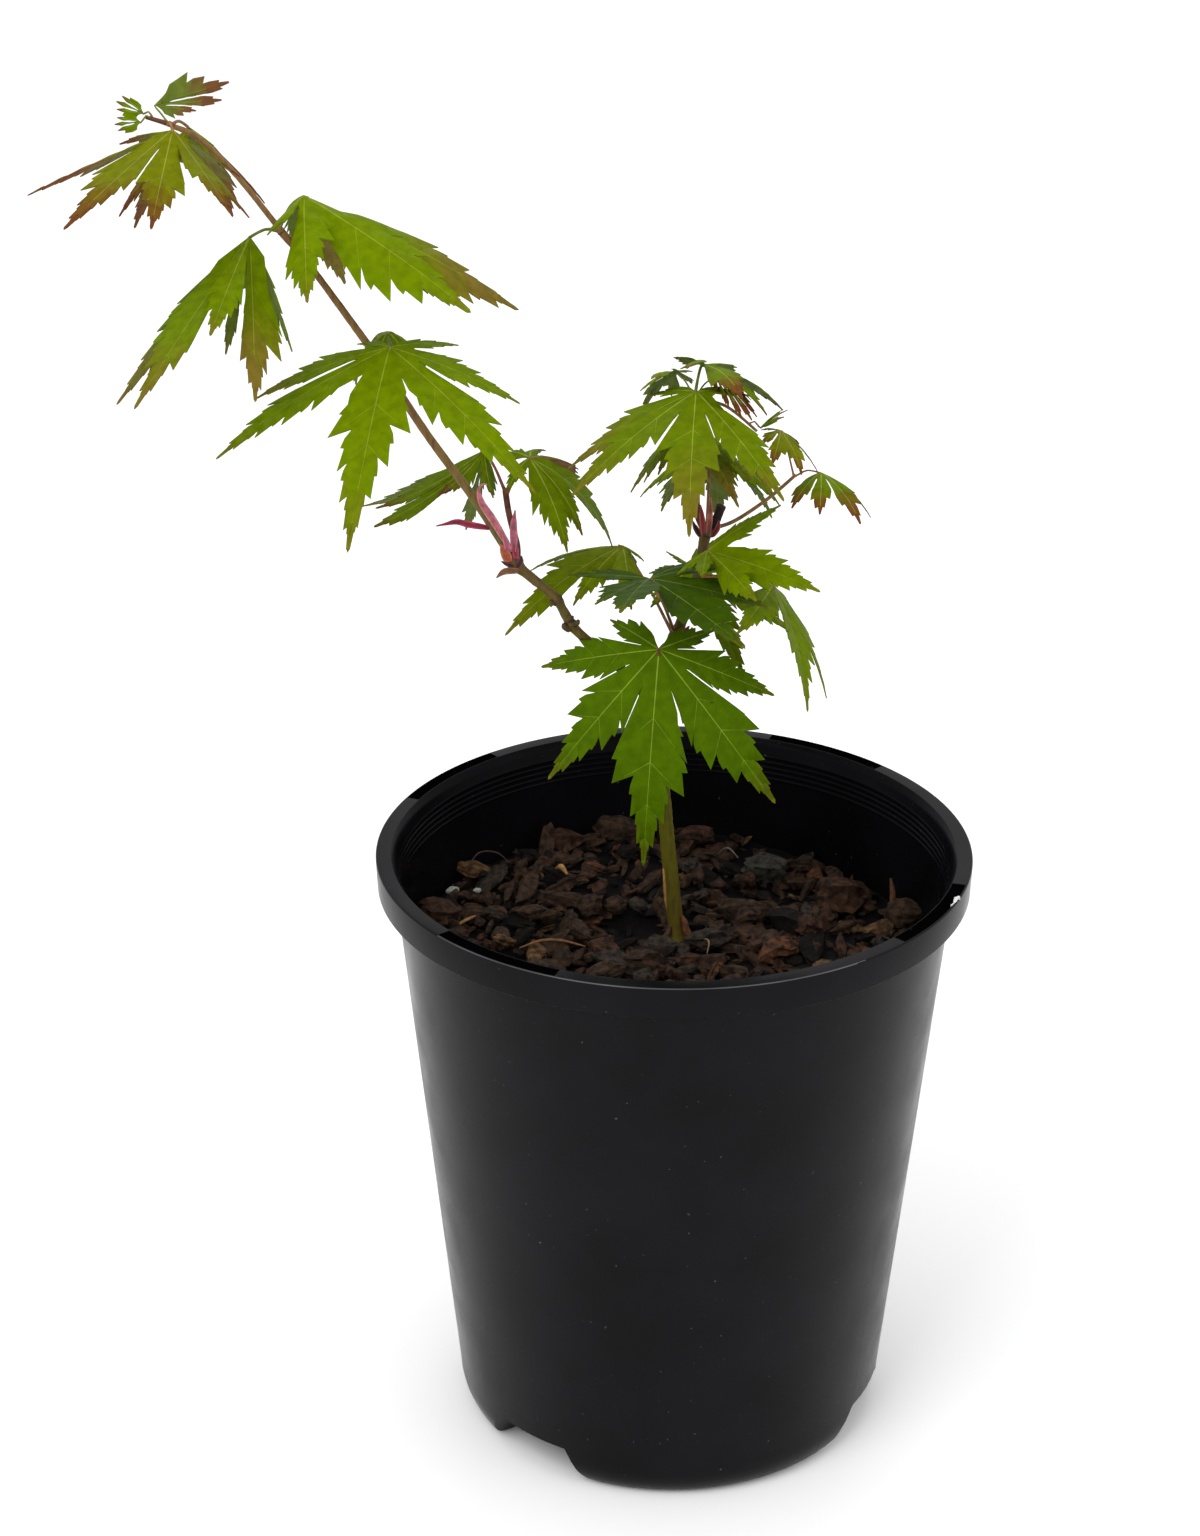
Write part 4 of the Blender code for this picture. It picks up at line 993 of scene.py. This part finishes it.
def rod(name, stations, sides, material, step=0.8 * MM):
    """A tapering round limb along a smooth path, as a closed mesh."""
    curve = bpy.data.curves.new(name, "CURVE")
    curve.dimensions = "3D"
    curve.bevel_depth = 1.0
    curve.bevel_resolution = sides // 2 - 2
    curve.use_fill_caps = True
    path = between(stations, step)
    spline = curve.splines.new("POLY")
    spline.points.add(len(path) - 1)
    for point, (place, radius) in zip(spline.points, path):
        point.co = (*place, 1.0)
        point.radius = radius
    limb = bpy.data.objects.new(name, curve)
    bpy.context.scene.collection.objects.link(limb)
    only(limb)
    bpy.ops.object.convert(target="MESH")
    limb = bpy.context.active_object
    with editing(limb):
        bpy.ops.mesh.remove_doubles(threshold=0.01 * MM)
        bpy.ops.mesh.normals_make_consistent(inside=False)
    limb.data.materials.clear()
    limb.data.materials.append(material)
    return limb


def with_relief(limb, depth, grain):
    """Bark relief pressed into a limb, with its depth and grain in mm."""
    pushed_by_clouds(limb, grain * MM, 2, depth * MM, 0.5)
    return smooth(limb, 70)


def ring_scar(place, towards, radius, material):
    """A low collar of bark where a leaf pair or bud once sat."""
    bpy.ops.mesh.primitive_torus_add(major_radius=radius * MM, minor_radius=0.22 * MM, major_segments=20,
                                     minor_segments=8, location=Vector(place) * MM)
    scar = bpy.context.active_object
    scar.rotation_euler = Vector(towards).to_track_quat("Z", "Y").to_euler()
    settle(scar)
    scar.data.materials.append(material)
    return smooth(scar, 60)


# Marks low on the stem: a healed scar down its left side and brown roots at its foot
STEM_MARKS = (
    ((((-2.2, 8.3, 140.0), 0.15), ((-2.0, 8.2, 137.4), 0.4), ((-1.8, 8.2, 134.0), 0.46),
      ((-1.6, 8.2, 130.6), 0.42), ((-1.3, 8.2, 127.6), 0.15)), "#9a7440"),
    ((((2.2, 7.6, 126.5), 0.35), ((3.0, 7.2, 124.6), 0.8), ((3.4, 6.9, 122.6), 0.95),
      ((5.0, 6.2, 120.6), 0.6)), "#563620"),
    ((((-0.4, 7.4, 123.6), 0.4), ((-1.2, 6.6, 121.8), 0.7), ((-3.0, 5.6, 120.2), 0.5)), "#3c2818"),
)
# Stubs of shed buds at the left bough's old nodes, with the grain of their relief in mm
KNOBS = (
    ((((-24.5, 5.8, 201.4), 0.9), ((-25.4, 5.1, 202.2), 0.8), ((-25.8, 4.9, 203.0), 0.4)), 0.7),
    ((((-23.4, 5.6, 202.6), 0.8), ((-22.6, 5.1, 203.2), 0.7), ((-22.3, 4.9, 203.9), 0.35)), 0.7),
    ((((-24.6, 5.4, 203.6), 0.6), ((-24.3, 4.9, 204.4), 0.6), ((-24.2, 4.8, 205.2), 0.3)), 0.6),
    ((((-27.6, 5.6, 207.8), 0.7), ((-28.4, 5.1, 208.2), 0.55), ((-28.7, 4.9, 208.8), 0.3)), 0.6),
    ((((-26.8, 5.4, 208.8), 0.6), ((-26.4, 5.0, 209.5), 0.5), ((-26.4, 4.9, 210.1), 0.25)), 0.6),
)
# Where the left bough's new shoot grows from its old wood
LEFT_NODE = (-36.3, 5.0, 217.4)
# Leaf scars round the boughs: place and radius in mm, and the bough's direction there
LEFT_SCARS = (
    ((-24.0, 6.5, 202.2), (-0.55, 0, 0.8), 1.35),
    ((-24.5, 6.4, 203.4), (-0.55, 0, 0.8), 1.2),
    ((-27.2, 6.1, 208.5), (-0.6, 0, 0.8), 1.15),
    (LEFT_NODE, (-0.6, 0, 0.8), 1.5),
    ((-67.9, 2.0, 269.6), (-0.5, 0, 0.8), 0.85),
    ((-86.4, 1.0, 296.2), (-0.5, 0, 0.8), 0.75),
)
RIGHT_SCARS = (((0.0, 10.0, 197.4), (0.2, 0.1, 1), 1.45), ((7.0, 13.0, 222.0), (0.2, 0, 1), 1.75))
# The dead end of the right bough where it was cut
CUT_STUB = (((8.2, 13.0, 222.6), 1.2), ((9.7, 13.0, 226.5), 1.05), ((10.4, 13.0, 228.8), 1.1))


def make_limbs():
    """The stem and the two boughs with their bark, marks, knobs and scars."""
    stem_bark = young_bark("stem_bark", "#574c14", "#5f5c0e", 124 * MM, 150 * MM)
    old_bark = young_bark("old_wood_bark", "#56500c", "#5e4c24", 190 * MM, 214 * MM)
    shoot_bark = young_bark("new_shoot_bark", "#68602a", "#7c5c30", 224 * MM, 250 * MM)
    right_bark = young_bark("right_bough_bark", "#565010", "#544420", 186 * MM, 216 * MM)
    scar_bark = plain_tissue("leaf_scar_bark", "#4a3a26", 0.7)
    stem = [with_relief(rod("stem", TRUNK, 24, stem_bark, 0.5 * MM), 0.22, 1.4)]
    for index, (path, colour) in enumerate(STEM_MARKS):
        callus = plain_tissue(f"stem_callus_{index}", colour, 0.7)
        stem.append(rod(f"stem_mark_{index}", path, 10, callus, 0.5 * MM))
    kept(smooth(joined("stem", stem), 70), "bark", "trunk")
    node = next(i for i, (place, _) in enumerate(LEFT_BOUGH) if place == LEFT_NODE)
    wood = rod("left_bough_wood", LEFT_BOUGH[: node + 2], 20, old_bark, 0.4 * MM)
    shoot = rod("left_bough_shoot", LEFT_BOUGH[node:], 16, shoot_bark, 0.5 * MM)
    left = [with_relief(wood, 0.22, 1.2), with_relief(shoot, 0.1, 1.2)]
    for index, (path, grain) in enumerate(KNOBS):
        left.append(with_relief(rod(f"knob_{index}", path, 12, scar_bark, 0.25 * MM), 0.25, grain))
    left += [ring_scar(*scar, scar_bark) for scar in LEFT_SCARS]
    kept(joined("left_bough_bark", left), "bark", "left_bough")
    right = [with_relief(rod("right_bough_wood", RIGHT_BOUGH, 20, right_bark, 0.4 * MM), 0.22, 1.2)]
    stub = rod("cut_stub", CUT_STUB, 14, plain_tissue("dead_wood", "#2c211c", 0.8), 0.4 * MM)
    right.append(with_relief(stub, 0.3, 0.9))
    right += [ring_scar(*scar, scar_bark) for scar in RIGHT_SCARS]
    kept(joined("right_bough_bark", right), "bark", "right_bough")


def blade_axes(leaf):
    """The leaf's side, forward and up directions."""
    heading, pitch, roll = (math.radians(turn) for turn in (leaf.heading, leaf.pitch, leaf.roll))
    level = math.cos(pitch)
    forward = Vector((math.cos(heading) * level, math.sin(heading) * level, -math.sin(pitch)))
    level_side = Vector((math.sin(heading), -math.cos(heading), 0.0))
    level_up = level_side.cross(forward)
    side = level_side * math.cos(roll) + level_up * math.sin(roll)
    return side, forward, side.cross(forward)


def lobe_turn(leaf, lobe):
    """A lobe's turn from the leaf's forward direction, in degrees."""
    return LOBE_TURNS[lobe] * leaf.spread + leaf.swing.get(lobe, 0)


def lobe_length(leaf, lobe):
    """A lobe's length in metres, along its bend."""
    return leaf.size * MM * LOBE_LENGTHS[lobe] * leaf.reach.get(lobe, 1.0)


def bent(leaf, lobe, share):
    """How far out and how far up the midrib is at a share of the lobe's length, in lobe lengths."""
    turn = abs(lobe_turn(leaf, lobe))
    start = math.radians(leaf.fall + leaf.droop.get(lobe, 0) + leaf.hang * min(turn / 90, 1.3))
    bend = math.radians(leaf.curl)
    out = (math.sin(start + bend * share) - math.sin(start)) / bend
    up = (math.cos(start + bend * share) - math.cos(start)) / bend
    return out, up


def on_lobe(leaf, lobe, share, across, lift=0.0):
    """The point of the blade at a share of a lobe's length and a distance beside its midrib."""
    side, forward, up = blade_axes(leaf)
    turn = math.radians(lobe_turn(leaf, lobe))
    along = side * math.sin(turn) + forward * math.cos(turn)
    beside = side * math.cos(turn) - forward * math.sin(turn)
    out, rise = bent(leaf, lobe, share)
    length = lobe_length(leaf, lobe)
    slope = FOLD
    if across * turn > 0:
        slope = -min(leaf.sag * min(abs(turn), 1.0), STEEPEST)
    slope *= min(FOLD_AT_HUB + share / FOLD_RISE, 1.0)
    height = rise * length + slope * abs(across) + lift
    return Vector(leaf.hub) * MM + along * (out * length) + beside * across + up * height


def half_gap(leaf, lobe, way):
    """Half of the angle to the next lobe on that side, or none at the leaf's base."""
    other = lobe + way
    if other not in leaf.lobes:
        return None
    return math.radians(abs(lobe_turn(leaf, other) - lobe_turn(leaf, lobe))) / 2


def seam_point(leaf, lobe, part):
    """A point on the line from the hub to the foot of the cut after a lobe, shared with the next one."""
    half = half_gap(leaf, lobe, 1)
    depth = part * CUT * math.sqrt(lobe_length(leaf, lobe) * lobe_length(leaf, lobe + 1))
    places = []
    for one, way in ((lobe, 1), (lobe + 1, -1)):
        share = depth * math.cos(half) / lobe_length(leaf, one)
        places.append(on_lobe(leaf, one, share, way * depth * math.sin(half)))
    return (places[0] + places[1]) / 2


def room_beside(leaf, lobe, way, share):
    """How far a lobe may reach on one side before it leaves its own sector."""
    half = half_gap(leaf, lobe, way)
    if half is None:
        return 1.0
    out, _ = bent(leaf, lobe, share)
    return max(out * lobe_length(leaf, lobe) * math.tan(half) - SINUS_GAP, 0.5 * SINUS_GAP)


# Shares of a lobe's length: the cut between lobes, and where the teeth begin and end
CUT = 0.19
TEETH_FROM = 0.26
TEETH_TO = 0.955
TOOTH_DEPTH = 0.42
# Teeth lie closer together towards the tip
CROWDING = 1.25
# Rows on a tooth's back: place, and where its width is taken, as shares of the tooth; cut; bulge
PLAIN_BACK = ((0.5, 0.5, 0.35, 1.0),)
FINE_BACK = ((0.3, 0.3, 0.50, 0.8), (0.6, 0.5, 0.16, 1.0), (0.6, 0.6, 0.42, 0.8))
# How far the rows run forward from the midrib to the margin, for their width
SLANT = 0.9
# Teeth differ in size, and each side's run of them is a little ahead or behind
TOOTH_SIZES = (0.84, 1.14)
TOOTH_PHASE = 0.022
BULGE = 0.006
# Half width of a lobe between its teeth's tips, as shares of its length
ENVELOPE = ((0.0, 0.03), (0.21, 0.110), (0.28, 0.160), (0.38, 0.184), (0.47, 0.176), (0.57, 0.142),
            (0.67, 0.100), (0.77, 0.064), (0.86, 0.036), (0.94, 0.012), (1.0, 0.0))
# Columns of points across a lobe, the two in the middle being the sides of the midrib
COLUMNS = (-1.0, -0.66, -0.33, -0.5, 0.5, 0.33, 0.66, 1.0)
RIB_COLUMNS = (3, 4)
RIB_HALF_WIDTH = 0.15 * MM
# Places of the tints among a blade's materials, where each underside follows its upper side
GREEN, BROWN, VEIN = 0, 8, 10
# How far past the share where the browning begins each stage starts, and its part of the tip's tint
STAGES = ((-0.16, 2, 0.22), (-0.06, 4, 0.48), (0.05, 6, 0.74))
WHOLLY_BROWN = 0.17
# The margin browns ahead of the rest, by a ragged line
MARGIN_AHEAD = 0.07
RAGGED = 0.035


def envelope(share):
    """Half width of a lobe at a share of its length, as a share of that length."""
    for (low, narrow), (high, wide) in zip(ENVELOPE, ENVELOPE[1:]):
        if share <= high:
            return narrow + (wide - narrow) * (share - low) / (high - low)
    return 0.0


@dataclass
class Row:
    """One line of points across a lobe: where it meets the midrib and the margin, and what it is."""

    rib: float
    edge: float
    width: float
    bulge: float = 0.0
    vein: bool = False
    seam: float = 0.0
    tooth: int = -1


def margin_rows(teeth, fine):
    """The lobe's rows from the hub to its tip, with forward teeth and smaller ones on their backs."""
    rows = [Row(0.8 * CUT * part, CUT * part, 0, seam=part) for part in (0.25, 0.5, 0.75, 1.0)]
    starts = [TEETH_FROM + (TEETH_TO - TEETH_FROM) * (1 - (1 - i / teeth) ** CROWDING)
              for i in range(teeth + 1)]
    back = FINE_BACK if fine else PLAIN_BACK
    for tooth, (low, high) in enumerate(zip(starts, starts[1:])):
        span = high - low
        notch = TOOTH_DEPTH if tooth else 0.2 * TOOTH_DEPTH
        rows.append(Row(0, low, envelope(low) * (1 - notch), 0.1, tooth=tooth))
        for place, measured, share, bulge in back:
            width = envelope(low + measured * span) * (1 - share * TOOTH_DEPTH)
            rows.append(Row(0, low + place * span, width, bulge, tooth=tooth))
        for vein in (False, True):
            rows.append(Row(0, high + 0.30 * span, envelope(high) * 1.08, 0.0, vein, tooth=tooth))
    rows.append(Row(1.0, 1.0, 0.0))
    for before, row in zip(rows, rows[1:-1]):
        if not row.seam:
            step = 0.0035 if row.vein else 0.007
            row.rib = min(max(before.rib + step, row.edge - SLANT * row.width), 0.985)
    return rows


def mixed(first, second, part):
    """A hex colour part of the way from one to another."""
    pairs = [(int(first[i : i + 2], 16), int(second[i : i + 2], 16)) for i in (1, 3, 5)]
    return "#%02x%02x%02x" % tuple(round(a + (b - a) * part) for a, b in pairs)


# Leaf materials made so far
TISSUES = {}


def tissue(name, colour, roughness):
    """A leaf material, made once for each tint."""
    if name not in TISSUES:
        TISSUES[name] = leaf_tissue(name, colour, roughness)
    return TISSUES[name]


def blade_materials(look):
    """Upper side and underside in turn: green, the stages of turning brown, brown, and vein."""
    top, under, vein = BLADE_TINTS[look.blade]
    tip, tip_under = TIP_TINTS[look.tips]
    blend = look.blade + "_to_" + look.tips
    wanted = [(look.blade + "_leaf", top, 0.5), (look.blade + "_leaf_underside", under, 0.6)]
    for _, slot, part in STAGES:
        wanted.append((f"{blend}_{slot // 2}", mixed(top, tip, part), 0.5))
        wanted.append((f"{blend}_{slot // 2}_underside", mixed(under, tip_under, part), 0.5))
    wanted += [
        (look.tips + "_leaf_tip", tip, 0.5),
        (look.tips + "_leaf_tip_underside", tip_under, 0.6),
        (look.blade + "_vein", vein, 0.5),
        (look.blade + "_vein_underside", mixed(vein, under, 0.5), 0.6),
    ]
    return [tissue(*given) for given in wanted]


def lobe_lines(whole, leaf, lobe, rows, broad, draw):
    """The rows' points on one lobe, each side with its own run of larger and smaller teeth."""
    length = lobe_length(leaf, lobe)
    size = {way: [draw.uniform(*TOOTH_SIZES) for _ in rows] for way in (-1, 1)}
    phase = {way: draw.uniform(-TOOTH_PHASE, TOOTH_PHASE) for way in (-1, 1)}
    lines = []
    for row in rows[:-1]:
        line = []
        for column, across in enumerate(COLUMNS):
            way = 1 if across > 0 else -1
            seam = None
            share = row.edge
            width = row.width * length * size[way][row.tooth] * broad
            if row.seam and half_gap(leaf, lobe, way) is not None:
                seam = seam_point(leaf, lobe if way > 0 else lobe - 1, row.seam)
                width = (seam - on_lobe(leaf, lobe, row.rib, 0.0)).length
            elif row.seam:
                width = envelope(row.edge) * length * row.seam**0.5
            else:
                share += phase[way] * 4 * share * (1 - share)
                width = min(width, room_beside(leaf, lobe, way, share))
            part = abs(across)
            if column in RIB_COLUMNS:
                rib_width = min(RIB_HALF_WIDTH * (1.15 - row.rib), 0.25 * width)
                line.append(whole.verts.new(on_lobe(leaf, lobe, row.rib, way * rib_width)))
            elif seam is not None:
                line.append(whole.verts.new(on_lobe(leaf, lobe, row.rib, 0.0).lerp(seam, part)))
            else:
                lift = row.bulge * BULGE * length if part < 1 else 0.0
                at = row.rib + (share - row.rib) * part
                line.append(whole.verts.new(on_lobe(leaf, lobe, at, way * width * part, lift)))
        lines.append(line)
    return lines


def tint_for(share, browning, column, row, small, draw):
    """Which tint a face takes: vein, green, or one of the stages of turning brown."""
    margin = column in (0, len(COLUMNS) - 2)
    at = share + (MARGIN_AHEAD if margin else 0.0) + draw.uniform(-RAGGED, RAGGED) - browning
    on_rib = column == RIB_COLUMNS[0]
    if at > WHOLLY_BROWN:
        return BROWN
    if on_rib or (row.vein and not margin and not small):
        return VEIN
    reached = [slot for start, slot, _ in STAGES if at > start]
    return reached[-1] if reached else GREEN


def blade(name, leaf, look, draw):
    """Each lobe a strip from the hub to its tip, joined to the next as far as the cuts, then made thick."""
    small = leaf.size * MM < SMALL_LEAF
    whole = bmesh.new()
    hub = whole.verts.new(Vector(leaf.hub) * MM)
    strips = range(len(COLUMNS) - 1)
    for lobe in leaf.lobes:
        outer = lobe in (0, len(LOBE_TURNS) - 1)
        teeth = 2 if leaf.size < 10 else 4 if small or outer else 5
        rows = margin_rows(teeth, not small and not outer)
        browning = look.lobes.get(lobe, look.start)
        lines = lobe_lines(whole, leaf, lobe, rows, look.width, draw)
        tip = whole.verts.new(on_lobe(leaf, lobe, 1.0, 0.0))
        for column in strips:
            face = whole.faces.new((hub, lines[0][column + 1], lines[0][column]))
            face.material_index = VEIN if column == RIB_COLUMNS[0] else GREEN
        for line, following, row, next_row in zip(lines, lines[1:], rows, rows[1:]):
            share = 0.5 * (row.rib + next_row.rib)
            for column in strips:
                corners = (line[column], line[column + 1], following[column + 1], following[column])
                face = whole.faces.new(corners)
                face.material_index = tint_for(share, browning, column, next_row, small, draw)
        for column in strips:
            face = whole.faces.new((lines[-1][column], lines[-1][column + 1], tip))
            face.material_index = BROWN if browning < 1 else GREEN
    bmesh.ops.remove_doubles(whole, verts=whole.verts, dist=0.004 * MM)
    bmesh.ops.recalc_face_normals(whole, faces=whole.faces)
    up = blade_axes(leaf)[2]
    if sum((face.normal * face.calc_area() for face in whole.faces), Vector()).dot(up) < 0:
        bmesh.ops.reverse_faces(whole, faces=whole.faces)
    obj = object_from(name, whole, blade_materials(look))
    skin = obj.modifiers.new("thickness", "SOLIDIFY")
    skin.thickness = BLADE_THICKNESS * (SMALL_THICKNESS if small else 1.0)
    skin.offset = 0.0
    skin.material_offset = 1
    skin.material_offset_rim = 0
    apply_all(obj)
    return smooth(obj, 55)


def leaf_stalk(name, leaf, material):
    """The stalk from its root on the limb over an arch to the hub, and on a little way under the blade."""
    root, hub = Vector(leaf.root), Vector(leaf.hub)
    middle = (root + hub) / 2 + Vector((0, 0, leaf.arch))
    grip = on_lobe(leaf, MIDDLE, min(1.5 * MM / lobe_length(leaf, MIDDLE), 0.3), 0.0, -0.1 * MM) / MM
    thick = STALK_RADIUS / MM if leaf.size * MM >= SMALL_LEAF else SMALL_STALK * STALK_RADIUS / MM
    path = ((tuple(root), 1.5 * thick), (tuple(root.lerp(middle, 0.3)), thick), (tuple(middle), 0.85 * thick),
            (tuple(hub - Vector((0, 0, 0.15))), 0.9 * thick), (tuple(grip), 0.4 * thick))
    return rod(name, path, 8, material)


def make_foliage():
    """Each mass anew: its shoots and stalks, and its leaf blades."""
    draw = random.Random(5)
    stalk_finish = {name: plain_tissue(name, colour) for name, colour in STALK_TINTS.items()}
    red_shoot = plain_tissue("young_red_shoot", "#5e3626")
    tan_shoot = plain_tissue("young_tan_shoot", "#7d6034")
    for name, leaves in LEAVES.items():
        blades = []
        stalks = []
        for index, shoot in enumerate(SHOOTS.get(name, [])):
            slender = name == "right_shoot_leaves" or index == 1
            share = SLENDER_SHOOT if slender else STOUT_SHOOT
            thinned = tuple((place, radius * share) for place, radius in shoot)
            stalks.append(rod(f"{name}_shoot_{index}", thinned, 12, tan_shoot if slender else red_shoot))
        for index, (leaf, look) in enumerate(zip(leaves, LOOKS[name])):
            blades.append(blade(f"{name}_blade_{index}", leaf, look, draw))
            stalks.append(leaf_stalk(f"{name}_stalk_{index}", leaf, stalk_finish[look.stalk]))
        slot = "young_leaf" if name in ("terminal_leaves", "right_shoot_leaves") else "leaf"
        kept(joined(name + "_blades", blades), slot, name)
        kept(smooth(joined(name + "_stalks", stalks), 60), "bark")


# Bud scales left at the nodes: path in mm, half width in mm, and tint
BUD_SCALES = (
    (((-38.4, 3.6, 223.2), (-40.0, 3.1, 226.4), (-41.9, 2.7, 229.9), (-43.8, 2.2, 233.2), (-44.6, 1.8, 236.4),
      (-43.9, 1.6, 238.0), (-42.7, 1.9, 237.9)), 0.85, "scale_pink"),
    (((-42.4, 4.0, 226.8), (-44.3, 2.5, 227.7), (-47.1, 1.5, 228.6), (-49.6, 0.7, 229.5), (-52.2, 0.0, 229.2),
      (-54.2, -1.0, 229.1)), 0.7, "scale_crimson"),
    (((-37.0, 3.3, 221.4), (-36.8, 3.1, 224.2), (-36.9, 3.1, 227.0), (-36.7, 3.4, 229.5),
      (-36.5, 3.8, 231.2)), 0.85, "scale_rose"),
    (((-36.4, 3.4, 219.6), (-36.5, 3.2, 221.8), (-36.5, 3.2, 224.0)), 0.7, "scale_crimson"),
    (((-38.1, 3.5, 221.2), (-38.6, 2.8, 224.0), (-39.5, 2.5, 226.4)), 0.7, "scale_rose"),
    (((-38.0, 3.5, 218.8), (-38.9, 3.5, 221.0), (-39.9, 3.6, 223.0)), 1.1, "scale_orange"),
    (((-35.9, 3.4, 216.6), (-37.8, 2.8, 216.9), (-39.4, 2.4, 216.7), (-40.9, 1.8, 215.5)), 0.75,
     "scale_brown"),
    (((-36.7, 3.8, 217.4), (-38.4, 3.2, 218.3), (-39.8, 3.0, 219.1)), 0.5, "scale_dark"),
    (((-36.0, 3.2, 217.6), (-35.4, 3.0, 219.0), (-35.2, 3.2, 220.4)), 0.7, "scale_dark"),
    (((0.8, 8.7, 195.8), (2.1, 8.2, 199.3), (3.3, 8.4, 201.1)), 0.9, "scale_crimson"),
    (((2.0, 8.9, 196.2), (3.6, 8.8, 198.2), (3.9, 9.0, 200.5)), 0.8, "scale_rose"),
    (((6.4, 11.6, 222.0), (6.0, 11.4, 226.0), (5.6, 11.4, 229.6)), 0.65, "scale_red"),
    (((7.4, 11.5, 221.8), (7.7, 11.2, 226.6), (7.9, 11.2, 231.6)), 0.65, "scale_rust"),
    (((5.6, 12.0, 221.8), (4.2, 11.6, 224.6), (3.9, 11.6, 225.6)), 0.6, "scale_dark"),
    (((8.4, 12.0, 221.8), (9.6, 11.6, 224.0), (9.8, 11.6, 225.8)), 0.6, "scale_red"),
)
SCALE_TINTS = {
    "scale_pink": "#aa5f68",
    "scale_rose": "#9c5264",
    "scale_crimson": "#841e38",
    "scale_red": "#742824",
    "scale_rust": "#8a4a3a",
    "scale_orange": "#a0502e",
    "scale_brown": "#6a4a2c",
    "scale_dark": "#34171a",
}
# Columns of points across a scale, as shares of its half width
STRAP_COLUMNS = (-1.0, -0.7, -0.3, 0.3, 0.7, 1.0)
# Studio lamps: place and size in metres, and power in watts
LAMPS = (
    ("key", (-0.55, -0.75, 1.15), 0.7, 7.0),
    ("fill", (0.9, -0.5, 0.7), 0.8, 1.5),
    ("back", (0.1, 0.9, 1.0), 0.8, 2.0),
)
LAMP_AIM = Vector((-0.02, 0.0, 0.2))


def strap(name, path, half_width, inner, margin):
    """A cupped strap along a path, widest past its middle and pointed at its end, with paler margins."""
    stations = between([(place, 1.0) for place in path], 0.5 * MM)
    mesh_data = bmesh.new()
    outwards = Vector((0.0, -1.0, 0.25)).normalized()
    lines = []
    for index, (place, _) in enumerate(stations):
        ahead = stations[min(index + 1, len(stations) - 1)][0] - stations[max(index - 1, 0)][0]
        side = ahead.cross(outwards).normalized()
        cup = side.cross(ahead).normalized()
        share = index / (len(stations) - 1)
        wide = half_width * MM * (0.45 + 0.55 * math.sin(math.pi * min(share + 0.1, 1.0)))
        if share > 0.7:
            wide *= math.sqrt(max((1 - share) / 0.3, 0.02))
        lines.append([mesh_data.verts.new(place + side * (wide * c) + cup * (0.4 * wide * c * c))
                      for c in STRAP_COLUMNS])
    last = len(STRAP_COLUMNS) - 2
    for line, following in zip(lines, lines[1:]):
        for column in range(last + 1):
            corners = (line[column], line[column + 1], following[column + 1], following[column])
            face = mesh_data.faces.new(corners)
            face.material_index = 1 if column in (0, last) else 0
    obj = object_from(name, mesh_data, [inner, margin])
    skin = obj.modifiers.new("thickness", "SOLIDIFY")
    skin.thickness = 0.22 * MM
    skin.offset = 0.0
    apply_all(obj)
    return obj


def make_bud_scales():
    """The papery scales left at the nodes."""
    finishes = {name: (plain_tissue(name, colour, 0.4),
                       plain_tissue(name + "_margin", mixed(colour, "#d8a0a0", 0.3), 0.4))
                for name, colour in SCALE_TINTS.items()}
    straps = [strap(f"scale_{index}", path, wide, *finishes[tint])
              for index, (path, wide, tint) in enumerate(BUD_SCALES)]
    kept(smooth(joined("bud_scales", straps), 60), "young_leaf")


def make_stage():
    """A white board that runs on out of view, a pale sky, and three soft lamps."""
    bpy.ops.mesh.primitive_plane_add(size=30)
    floor = bpy.context.active_object
    floor.name = "studio_floor"
    board, tree, shader, coords = finish("matt_white_board", 0.9, 0.1)
    tree.links.new(mottled(tree, coords, 0.4, "#fbfbfa", "#fdfdfc"), shader.inputs["Base Color"])
    floor.data.materials.append(board)
    world = bpy.data.worlds.new("studio")
    bpy.context.scene.world = world
    world.use_nodes = True
    sky = world.node_tree.nodes["Background"]
    sky.inputs["Color"].default_value = linear("#fdfdff")
    sky.inputs["Strength"].default_value = 1.04
    for name, place, size, power in LAMPS:
        lamp = bpy.data.lights.new(name, "AREA")
        lamp.energy = power
        lamp.size = size
        light = bpy.data.objects.new(name, lamp)
        light.location = place
        light.rotation_euler = (LAMP_AIM - Vector(place)).to_track_quat("-Z", "Y").to_euler()
        bpy.context.scene.collection.objects.link(light)


def make_camera():
    """The photograph's camera."""
    lens = bpy.data.cameras.new("photograph")
    lens.sensor_fit = "AUTO"
    lens.sensor_width = 36.0
    lens.lens = CAMERA_LENS
    lens.clip_start = 0.01
    lens.clip_end = 60.0
    camera = bpy.data.objects.new("photograph", lens)
    camera.location = CAMERA_PLACE
    camera.rotation_euler = (math.radians(90 - CAMERA_DOWN), 0.0, 0.0)
    bpy.context.scene.collection.objects.link(camera)
    bpy.context.scene.camera = camera


make_camera()
make_stage()
make_pot()
make_scuff()
make_bed()
make_chips()
make_grit()
make_limbs()
make_foliage()
make_bud_scales()
bpy.context.scene.view_settings.view_transform = "Standard"
